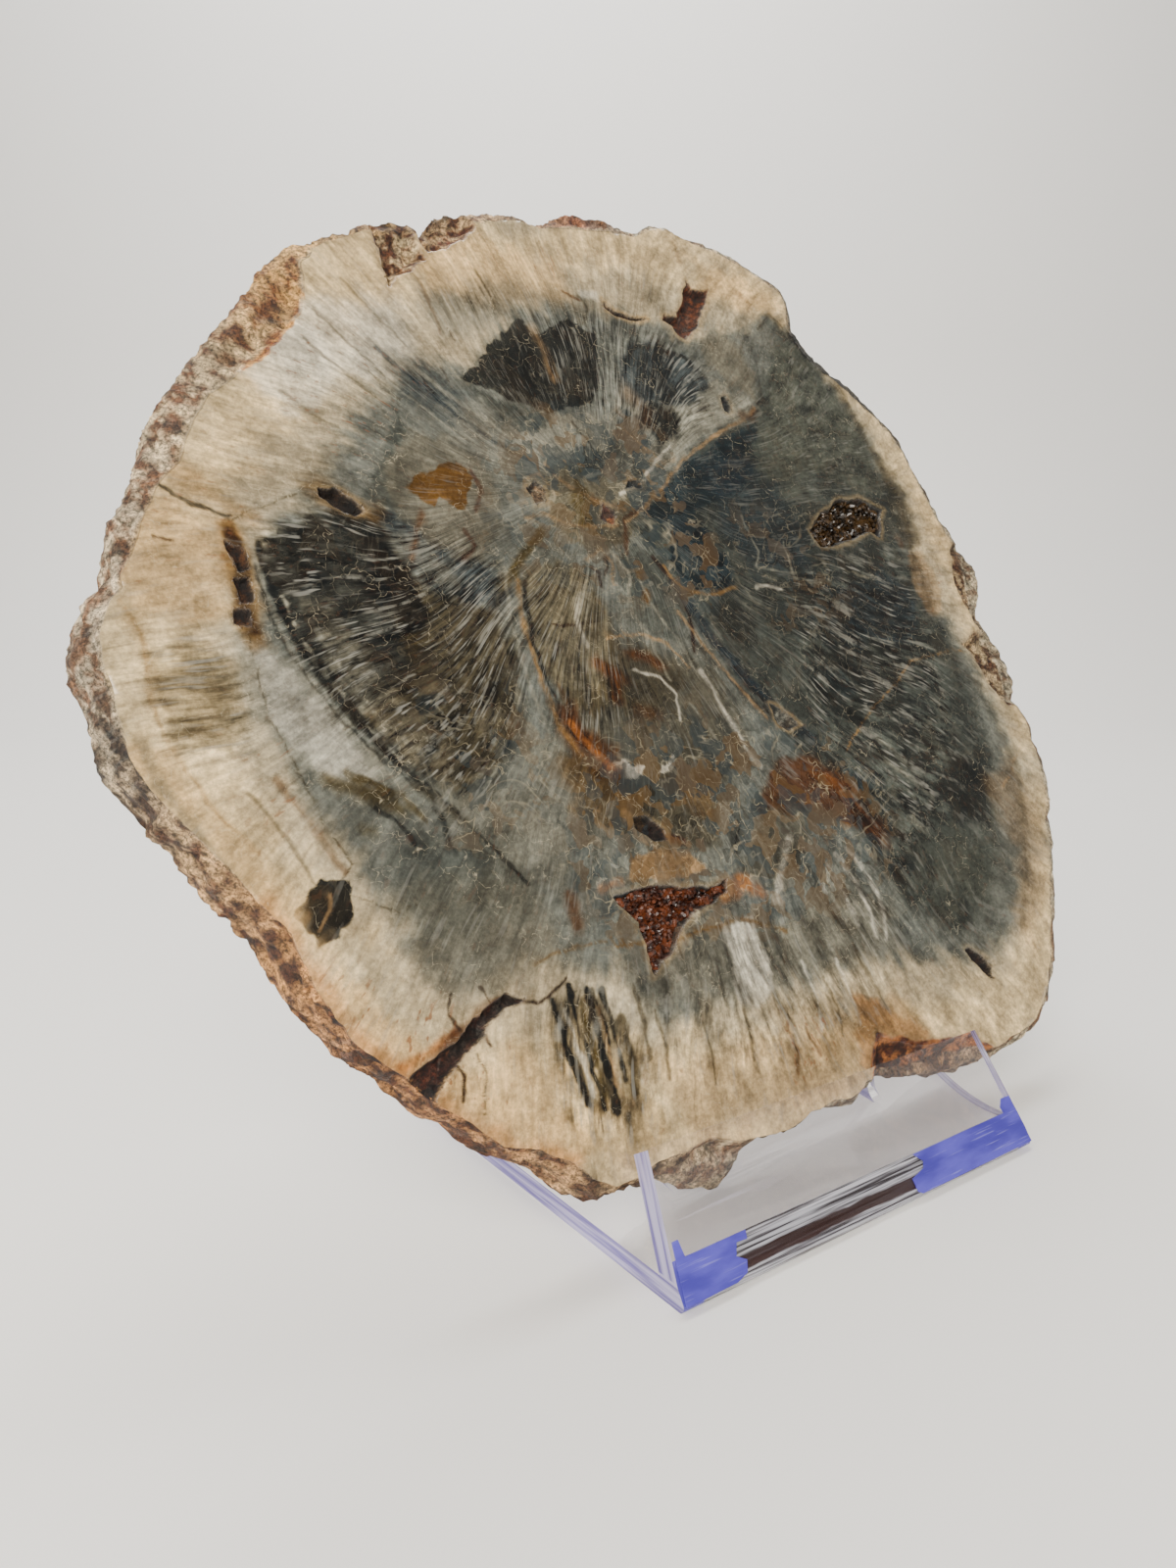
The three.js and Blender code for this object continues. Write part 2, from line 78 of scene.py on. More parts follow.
# Widest line of the rim, with its depth behind the face
rimEdge = [
    (-71, 18, 9), (-75, 23.5, 9), (-85.5, 30, 9), (-94, 37.5, 9), (-103, 47, 9), (-113, 57.5, 9),
    (-120, 68.5, 9), (-124, 79, 9), (-125, 83, 9), (-133.5, 93.5, 9), (-138, 103, 9),
    (-141.5, 106, 9), (-141.5, 109, 9), (-146, 115.5, 9), (-148, 120, 8), (-149, 133, 8),
    (-151, 139.5, 8), (-151, 142, 8), (-149, 148, 8), (-146.5, 153, 7), (-142.5, 157, 6),
    (-142, 161, 6), (-140, 170, 6), (-136.5, 175, 6), (-133, 183.5, 6), (-128, 195, 6),
    (-121.5, 204, 6), (-114, 212.5, 5), (-105, 224, 5), (-98, 234, 5), (-93, 239, 5),
    (-89.5, 242, 3), (-86, 242, 2), (-79, 246, 2), (-75, 247, 2), (-70.5, 251, 3), (-65.5, 253.5, 4),
    (-55.5, 255, 4), (-53, 252, 4), (-50, 255, 4), (-48, 258, 4), (-43, 261.5, 4), (-34, 262.5, 3),
    (-22.5, 264.5, 2), (-18, 262.5, 2), (-13, 263.5, 2), (-7, 268, 3), (3, 270, 3), (10, 271.5, 3),
    (11.5, 268.5, 2), (22, 268, 2), (27, 272.5, 2), (35, 273, 2), (42, 270.5, 2), (56, 268.5, 2),
    (68.5, 264.5, 2), (78.5, 260, 2), (80, 255, 2), (79, 248, 2), (77.5, 244, 2), (81.5, 239.5, 2),
    (85, 234.5, 2), (93, 229.5, 2), (104, 221, 2), (113, 212, 2), (116, 207, 2), (118, 198, 2),
    (122, 185, 2), (124, 179.5, 2), (128.5, 174.5, 3), (134, 167.5, 4), (137, 162, 4),
    (137, 159, 4), (133, 149.5, 4), (129.5, 147.5, 3), (128.5, 142.5, 3), (133, 138.5, 4),
    (138, 131.5, 4), (139, 121, 4), (134, 112.5, 2), (137.5, 105, 2), (136, 100.5, 2),
    (137.5, 98, 2), (137, 93, 2), (134.5, 80, 2), (134, 77, 2), (130.5, 75, 2), (129, 67, 2),
    (122.5, 55, 2), (118.5, 45, 2), (109.5, 30, 2), (102, 21, 3), (98, 20, 3), (96, 16.5, 3),
    (92, 15, 3), (85, 13.5, 4), (75.5, 11.5, 9), (70, 8.5, 14), (63, 7.2, 16), (54, 7.2, 16),
    (46, 8.5, 16), (36, 11, 13), (24, 15, 8), (18, 13.5, 6), (13, 11.5, 6), (7, 13, 6), (2, 14, 6),
    (-3, 12, 8), (-13, 11.5, 8), (-23, 11, 10), (-27, 8.5, 10), (-29.5, 5.5, 10), (-33, 4.8, 10),
    (-38, 6, 10), (-44, 9, 9), (-50, 12, 9), (-54, 16.5, 6), (-57, 13.5, 8), (-65, 14, 8),
]


# Smooth repeatable noise from -1 to 1, for shapes and painted marks

def latticeValue(ix, iy, seed):
    n = (ix.astype(np.int64) * 374761393 + iy.astype(np.int64) * 668265263 + seed * 982451653) & 0xFFFFFFFF
    n = ((n ^ (n >> 13)) * 1274126177) & 0xFFFFFFFF
    return ((n ^ (n >> 16)) & 0xFFFF) / 32767.5 - 1.0


def softNoise(x, y, size, seed):
    x, y = np.asarray(x) / size, np.asarray(y) / size
    ix, iy = np.floor(x), np.floor(y)
    fx, fy = x - ix, y - iy
    fx, fy = fx * fx * (3 - 2 * fx), fy * fy * (3 - 2 * fy)
    low = latticeValue(ix, iy, seed) * (1 - fx) + latticeValue(ix + 1, iy, seed) * fx
    high = latticeValue(ix, iy + 1, seed) * (1 - fx) + latticeValue(ix + 1, iy + 1, seed) * fx
    return low * (1 - fy) + high * fy


def layeredNoise(x, y, size, seed, layers=3):
    total, weight, weights = 0.0, 1.0, 0.0
    for layer in range(layers):
        total = total + weight * softNoise(x, y, size / 2 ** layer, seed + 17 * layer)
        weights += weight
        weight *= 0.55
    return total / weights


def smoothStep(low, high, value):
    t = np.clip((value - low) / (high - low), 0, 1)
    return t * t * (3 - 2 * t)


# Distances to drawn outlines and strokes

def strokeDistance(u, v, points, closed=False):
    best = np.full(u.shape, 1e9)
    ends = list(points[1:]) + ([points[0]] if closed else [])
    for (ax, ay), (bx, by) in zip(points, ends):
        dx, dy = bx - ax, by - ay
        t = np.clip(((u - ax) * dx + (v - ay) * dy) / (dx * dx + dy * dy + 1e-9), 0, 1)
        best = np.minimum(best, np.hypot(u - ax - t * dx, v - ay - t * dy))
    return best


def insideOutline(u, v, points):
    inside = np.zeros(u.shape, bool)
    for (ax, ay), (bx, by) in zip(points, points[1:] + points[:1]):
        crosses = (ay > v) != (by > v)
        inside ^= crosses & (u < (bx - ax) * (v - ay) / (by - ay + 1e-12) + ax)
    return inside


def outlineDepth(u, v, points):  # positive inside, in mm from the edge
    distance = strokeDistance(u, v, points, closed=True)
    return np.where(insideOutline(u, v, points), distance, -distance)


def nearOutline(u, v, points, margin):  # indices of the places that an outline can reach
    across, up = zip(*points)
    beside = (u > min(across) - margin) & (u < max(across) + margin)
    return np.flatnonzero(beside & (v > min(up) - margin) & (v < max(up) + margin))


def toLinear(colour):
    c = np.asarray(colour, float) / 255
    return np.where(c <= 0.04045, c / 12.92, ((c + 0.055) / 1.055) ** 2.4)


def fromSlab(u, v, depth):  # slab mm to the row's metres
    s, c = math.sin(slabPlane["lean"]), math.cos(slabPlane["lean"])
    y = slabPlane["footY"] + v * s + depth * c
    z = slabPlane["footZ"] + v * c - depth * s
    return np.stack([u, y, z], axis=-1) * mm


# Hollows and chips: outline, depth, width of the wall, roughness of the floor
hollows = {
    "right": ([(56, 172.5), (60, 175.5), (64, 178), (68, 180), (72, 183.5), (78, 184), (85, 184.5), (90,
        182), (94, 181), (90.5, 178), (90, 174), (88, 170.5), (84, 173), (75, 169.5), (66, 168), (59, 167)],
        5.0, 2.6, 0.6),
    "lower": ([(-46, 77), (-40, 77.5), (-32, 78), (-24, 76), (-17, 75), (-11, 76), (-12, 72.5), (-20, 70),
        (-27, 67.5), (-31, 62), (-37, 59.5), (-40, 57.5), (-39.5, 64), (-40.5, 70), (-43, 73)], 4.6, 2.2,
        0.8),
    "topRust": ([(35, 253.5), (37, 250.5), (44, 251.3), (41, 247), (37, 241), (33, 236), (28, 232), (25.5,
        232.5), (24.5, 236), (21, 237), (22, 239.5), (27, 240), (31, 246)], 2.6, 1.8, 0.7),
    "crescent": ([(0.5, 239.8), (4, 237.5), (9, 236.3), (15.5, 236.8), (10, 234.8), (4, 235.6), (1, 237.5)],
        1.6, 0.9, 0.2),
    "black": ([(-34, 95), (-30, 94.5), (-26, 90.5), (-25.5, 88), (-29, 88), (-33.5, 91)], 3.0, 1.2, 0.5),
    "oval": ([(-96, 176.5), (-92, 176.8), (-88, 174.5), (-86, 171.5), (-88.5, 170.3), (-93, 172.5), (-96,
        174.5)], 2.6, 1.2, 0.5),
    "slit": ([(69.5, 44), (73, 42.5), (76.5, 39.5), (79, 36), (78, 33), (75, 34.5), (72, 38.5)], 2.6, 1.1,
        0.5),
    "speckled": ([(-41, 180), (-38, 182.5), (-35.5, 180), (-36, 176), (-39.5, 175.5)], 1.2, 1.0, 0.5),
    "ring": ([(-20.5, 172), (-18, 177.5), (-15, 175.5), (-16.5, 171.5)], 1.2, 1.0, 0.4),
    "topDot": ([(35.5, 214), (38, 215), (39, 211), (37.5, 208.5), (35.8, 210)], 1.4, 0.8, 0.2),
    "triangle": ([(20, 120), (23, 119), (29.5, 113.2), (25, 111.8), (21.5, 113.5)], 1.6, 1.0, 0.4),
    "beadA": ([(-119, 163), (-115, 162.5), (-114.5, 157.5), (-117, 156.5)], 1.5, 0.9, 0.4),
    "beadB": ([(-118.5, 155), (-115.2, 155.5), (-114.6, 149.5), (-118, 149.5)], 1.5, 0.9, 0.4),
    "beadC": ([(-119.8, 148.5), (-116, 148.3), (-116.5, 144.8), (-120, 145.2)], 1.2, 0.9, 0.4),
    "smallCut": ([(-9.8, 182), (-7.5, 184.6), (-3.2, 184.4), (-3.5, 182.4)], 1.0, 0.7, 0.3),
    "chipLeft": ([(-72, 262), (-68, 249), (-67.3, 240), (-67, 231), (-64.5, 234.5), (-59, 238), (-54,
        242.3), (-55.5, 249), (-55.5, 262)], 3.4, 2.6, 1.1),
    "chipLeftB": ([(-55.2, 262), (-55.3, 250), (-53, 244), (-47, 247), (-41, 250.5), (-36.5, 255), (-38,
        264)], 3.6, 2.4, 1.1),
    "topStrip": ([(-14, 261), (-9, 262.6), (-3, 263.5), (4, 264.6), (10, 265.3), (10, 276), (-14, 276)],
        2.2, 1.4, 0.8),
    "chipRight": ([(121.5, 168.5), (118.3, 157), (119.5, 149.5), (122.5, 141.5), (140, 141), (140, 172),
        (126, 173)], 3.2, 2.4, 1.0),
    "chipRightB": ([(111, 135.2), (115.5, 131), (117, 126.5), (119.5, 120.5), (123, 116), (126, 112.8),
        (142, 112), (142, 139.5), (125, 140), (118, 138.2)], 3.6, 2.6, 1.1),
    "facetRight": ([(17.5, 20), (25, 29.6), (33, 27), (43, 23.2), (52, 22.5), (61, 20.2), (69, 15.5), (72,
        2), (14, 2)], 5.0, 7.5, 0.9),
    "chunk": ([(-45, 15.5), (-41, 18.5), (-34, 18.8), (-29, 16.5), (-24, 2), (-48, 2)], 3.2, 2.4, 0.9),
    "orangeRim": ([(-115, 205), (-109, 203.5), (-103, 206.5), (-96, 214), (-91, 219.5), (-88.8, 226), (-90,
        231.5), (-94, 246), (-122, 216)], 2.6, 3.2, 0.9),
    "splitMouth": ([(-108, 44), (-103, 50), (-97, 52.5), (-90, 55.8), (-84, 59.6), (-79, 61.2), (-73, 59.3),
        (-78, 58.2), (-83, 56.8), (-87, 53), (-92, 50.2), (-98, 45.5), (-101, 40)], 2.6, 1.1, 0.5),
}
softEdge = {"size": 3.4, "reach": 0.9}  # how far an outline wanders, in mm
hollowLook = {
    "wander": (71, 1.05),  # seed and reach
    "margin": 2,
    "wallStart": -0.25,
    "roughEdge": (0.0, 0.25),
    "lumps": (0.45, 3.2, 300),  # share of the depth, size and first seed
    "specks": (2.2, 400),
    "speckRange": (-0.35, 0.4),
    "inside": (-0.1, 0.5),
    "lip": (176, 156, 122),
    "lipOutside": (-1.5, -0.3),
    "lipInside": (-0.2, 0.3),
    "lipDepth": 0.6,  # the pale lip ends at this depth
}


def wander(u, v, seed, reach=1.0):
    du = layeredNoise(u, v, softEdge["size"], seed) * softEdge["reach"] * reach
    dv = layeredNoise(u, v, softEdge["size"], seed + 5) * softEdge["reach"] * reach
    return u + du, v + dv


def hollowDepth(u, v):
    floor, rough = np.zeros(u.shape), np.zeros(u.shape)
    wu, wv = wander(u, v, *hollowLook["wander"])
    lumpShare, lumpSize, seed = hollowLook["lumps"]
    for i, (points, deep, wall, rugged) in enumerate(hollows.values()):
        near = nearOutline(wu, wv, points, hollowLook["margin"])
        share = smoothStep(hollowLook["wallStart"], wall, outlineDepth(wu[near], wv[near], points))
        lumps = layeredNoise(u[near], v[near], lumpSize, seed + i, 4)
        floor[near] = np.maximum(floor[near], share * (deep + rugged * deep * lumpShare * lumps))
        rough[near] = np.maximum(rough[near], smoothStep(*hollowLook["roughEdge"], share))
    return floor, rough


# Slice mesh: rings from the middle of the polished face, over the rim, to the middle of the back

slabMesh = {
    "faceStep": 1.32,
    "extraEdges": (17000, 17000),  # edges split where the painted colour or the depth changes most
    "shortestEdge": 0.4,
    "depthWeight": 0.12,  # how much a step in depth counts beside a change of colour
    "sharpAngle": math.radians(38),
    "rimSteps": 840,
    "backStep": 2.3,
    "rimRings": 22,
    "rimBite": 2.3,  # deepest furrow of the bark
    "rimTaper": 0.08,
    "backBevel": 1.5,
    "nick": (0.8, 3.6, 77),  # depth, length and seed
    "notch": (1.1, 9.0, 83),
    "notchRange": (0.25, 0.8),
    "furrow": 0.35,
    "deepestFurrow": 1.3,
    "furrowNoises": [  # share, stretch, size, seed, layers, and whether it is folded into ridges
        (0.5, 1.5, 7.0, 41, 3, False),
        (0.55, 1.3, 3.4, 55, 2, True),
        (0.3, 1.3, 1.7, 59, 2, False),
    ],
}


def edgeTable(outline):
    x = np.array([p[0] for p in outline]) - slabPlane["middle"][0]
    y = np.array([p[1] for p in outline]) - slabPlane["middle"][1]
    deep = np.array([p[2] if len(p) > 2 else 0.0 for p in outline])
    angle = np.arctan2(y, x)
    order = np.argsort(angle)
    return angle[order], np.hypot(x, y)[order], deep[order]


def edgeAt(table, angle):
    angles, radii, deep = table
    return [np.interp(angle, angles, values, period=2 * math.pi) for values in (radii, deep)]


def raggedRadius(radius, angle):  # small nicks along the edge of the polished face, only inwards
    (nickDepth, *nick), (notchDepth, *notch) = slabMesh["nick"], slabMesh["notch"]
    arc = angle * slabPlane["arcRadius"]
    nicks = 0.5 + 0.5 * layeredNoise(arc, arc * 0, *nick)
    notches = smoothStep(*slabMesh["notchRange"], layeredNoise(arc, arc * 0, *notch))
    return radius - nickDepth * nicks - notchDepth * notches


def ringAngles(count, turn):
    return -math.pi + 2 * math.pi * (np.arange(count) + 0.5 * (turn % 2)) / count


def zipRings(inner, outer):  # triangles between two rings with different numbers of points
    i, j, faces = 0, 0, []
    n, m = len(inner), len(outer)
    while i < n or j < m:
        if j >= m or (i < n and (i + 1) * m <= (j + 1) * n):
            faces.append((inner[i % n], outer[j % m], inner[(i + 1) % n]))
            i += 1
        else:
            faces.append((inner[i % n], outer[j % m], outer[(j + 1) % m]))
            j += 1
    return faces


def discRing(middle, share, meanRadius, outer, angle, depth, side):  # rounder towards the middle
    r = share * (meanRadius + (outer - meanRadius) * share * share)
    return middle[0] + r * np.cos(angle), middle[1] + r * np.sin(angle), np.full(len(angle), depth), side


def barkFurrow(arc, run):
    furrow = slabMesh["furrow"]
    for share, stretch, size, seed, layers, folded in slabMesh["furrowNoises"]:
        noise = layeredNoise(arc, run * stretch, size, seed, layers)
        furrow = furrow + share * (np.abs(noise) if folded else noise)
    return np.clip(furrow, 0, slabMesh["deepestFurrow"])


def sliceRings():
    face, rim = edgeTable(faceEdge), edgeTable(rimEdge)
    middle, thickness = slabPlane["middle"], slabPlane["thickness"]
    meanRadius = float(face[1].mean())
    around = 2 * math.pi * meanRadius
    rings = []
    count = int(meanRadius / slabMesh["faceStep"])
    for k in range(1, count + 1):
        last = k == count
        steps = slabMesh["rimSteps"] if last else max(6, int(around * (k / count) / slabMesh["faceStep"]))
        angle = ringAngles(steps, 0 if last else k)
        outer = raggedRadius(edgeAt(face, angle)[0], angle)
        rings.append(discRing(middle, k / count, meanRadius, outer, angle, 0.0, 0.0))
    rimRadius, rimDeep = edgeAt(rim, angle)
    total = slabMesh["rimRings"]
    for k in range(1, total + 1):
        t = 2 * k / total
        deep = np.where(t <= 1, t ** 1.3 * rimDeep, rimDeep + (t - 1) * (thickness - rimDeep))
        reach = math.sin(t * math.pi / 2) ** 1.1 if t <= 1 else 1 - slabMesh["rimTaper"] * (t - 1)
        r = outer + (rimRadius - outer) * reach
        r = r - slabMesh["rimBite"] * min(1.0, k / 3) * barkFurrow(angle * meanRadius, deep + r)
        if k == total:
            r = r - slabMesh["backBevel"]
        rings.append((middle[0] + r * np.cos(angle), middle[1] + r * np.sin(angle), deep, 1.0))
    count = int(meanRadius / slabMesh["backStep"])
    for k in range(count - 1, 0, -1):
        a = ringAngles(max(6, int(around * (k / count) / slabMesh["backStep"])), k)
        back = np.interp(a, angle, r, period=2 * math.pi)
        rings.append(discRing(middle, k / count, meanRadius, back, a, thickness, 2.0))
    return rings


def restOnBase(v, depth):  # nothing of the stone goes below the top of the base
    lean = slabPlane["lean"]
    return np.maximum(v, (slabPlane["restGap"] + depth * math.sin(lean)) / math.cos(lean))


def sliceMesh():
    rings = sliceRings()
    across, up = slabPlane["middle"]
    u = np.concatenate([[across]] + [r[0] for r in rings] + [[across]])
    v = np.concatenate([[up]] + [r[1] for r in rings] + [[up]])
    d = np.concatenate([[0.0]] + [r[2] for r in rings] + [[slabPlane["thickness"]]])
    side = np.concatenate([[0.0]] + [np.full(len(r[0]), r[3]) for r in rings] + [[2.0]])
    floor, rough = hollowDepth(u, v)
    d = np.where((side < 1.5) & (d < floor), floor, d)
    rough = np.where(side < 0.5, rough, 1.0)
    v = restOnBase(v, d)
    faces, start, previous = [], 1, [0]
    for ring in rings:
        ids = list(range(start, start + len(ring[0])))
        start += len(ids)
        if len(previous) == 1:
            faces += [(previous[0], ids[j], ids[(j + 1) % len(ids)]) for j in range(len(ids))]
        else:
            faces += zipRings(previous, ids)
        previous = ids
    faces += [(previous[j], start, previous[(j + 1) % len(previous)]) for j in range(len(previous))]
    return u, v, d, side, rough, np.array(faces)


# Stone colours, as seen on the polished face
stone = {
    "cream": (204, 190, 160), "warmCream": (206, 180, 138), "paleGrey": (152, 149, 136),
    "blueGrey": (102, 107, 104), "mistGrey": (124, 119, 105), "slate": (74, 78, 73),
    "smoothGrey": (97, 99, 90),
    "charcoal": (54, 54, 49), "black": (24, 25, 24), "inkBlue": (48, 59, 66), "teal": (40, 55, 61),
    "rust": (96, 63, 30), "orange": (176, 124, 68), "ochre": (108, 82, 36), "olive": (86, 74, 40),
    "deepBrown": (54, 32, 20), "redBrown": (84, 46, 28), "tan": (160, 136, 104), "bone": (208, 203, 190),
    "figure": (110, 99, 74), "umber": (72, 63, 43), "gold": (148, 120, 78),
}

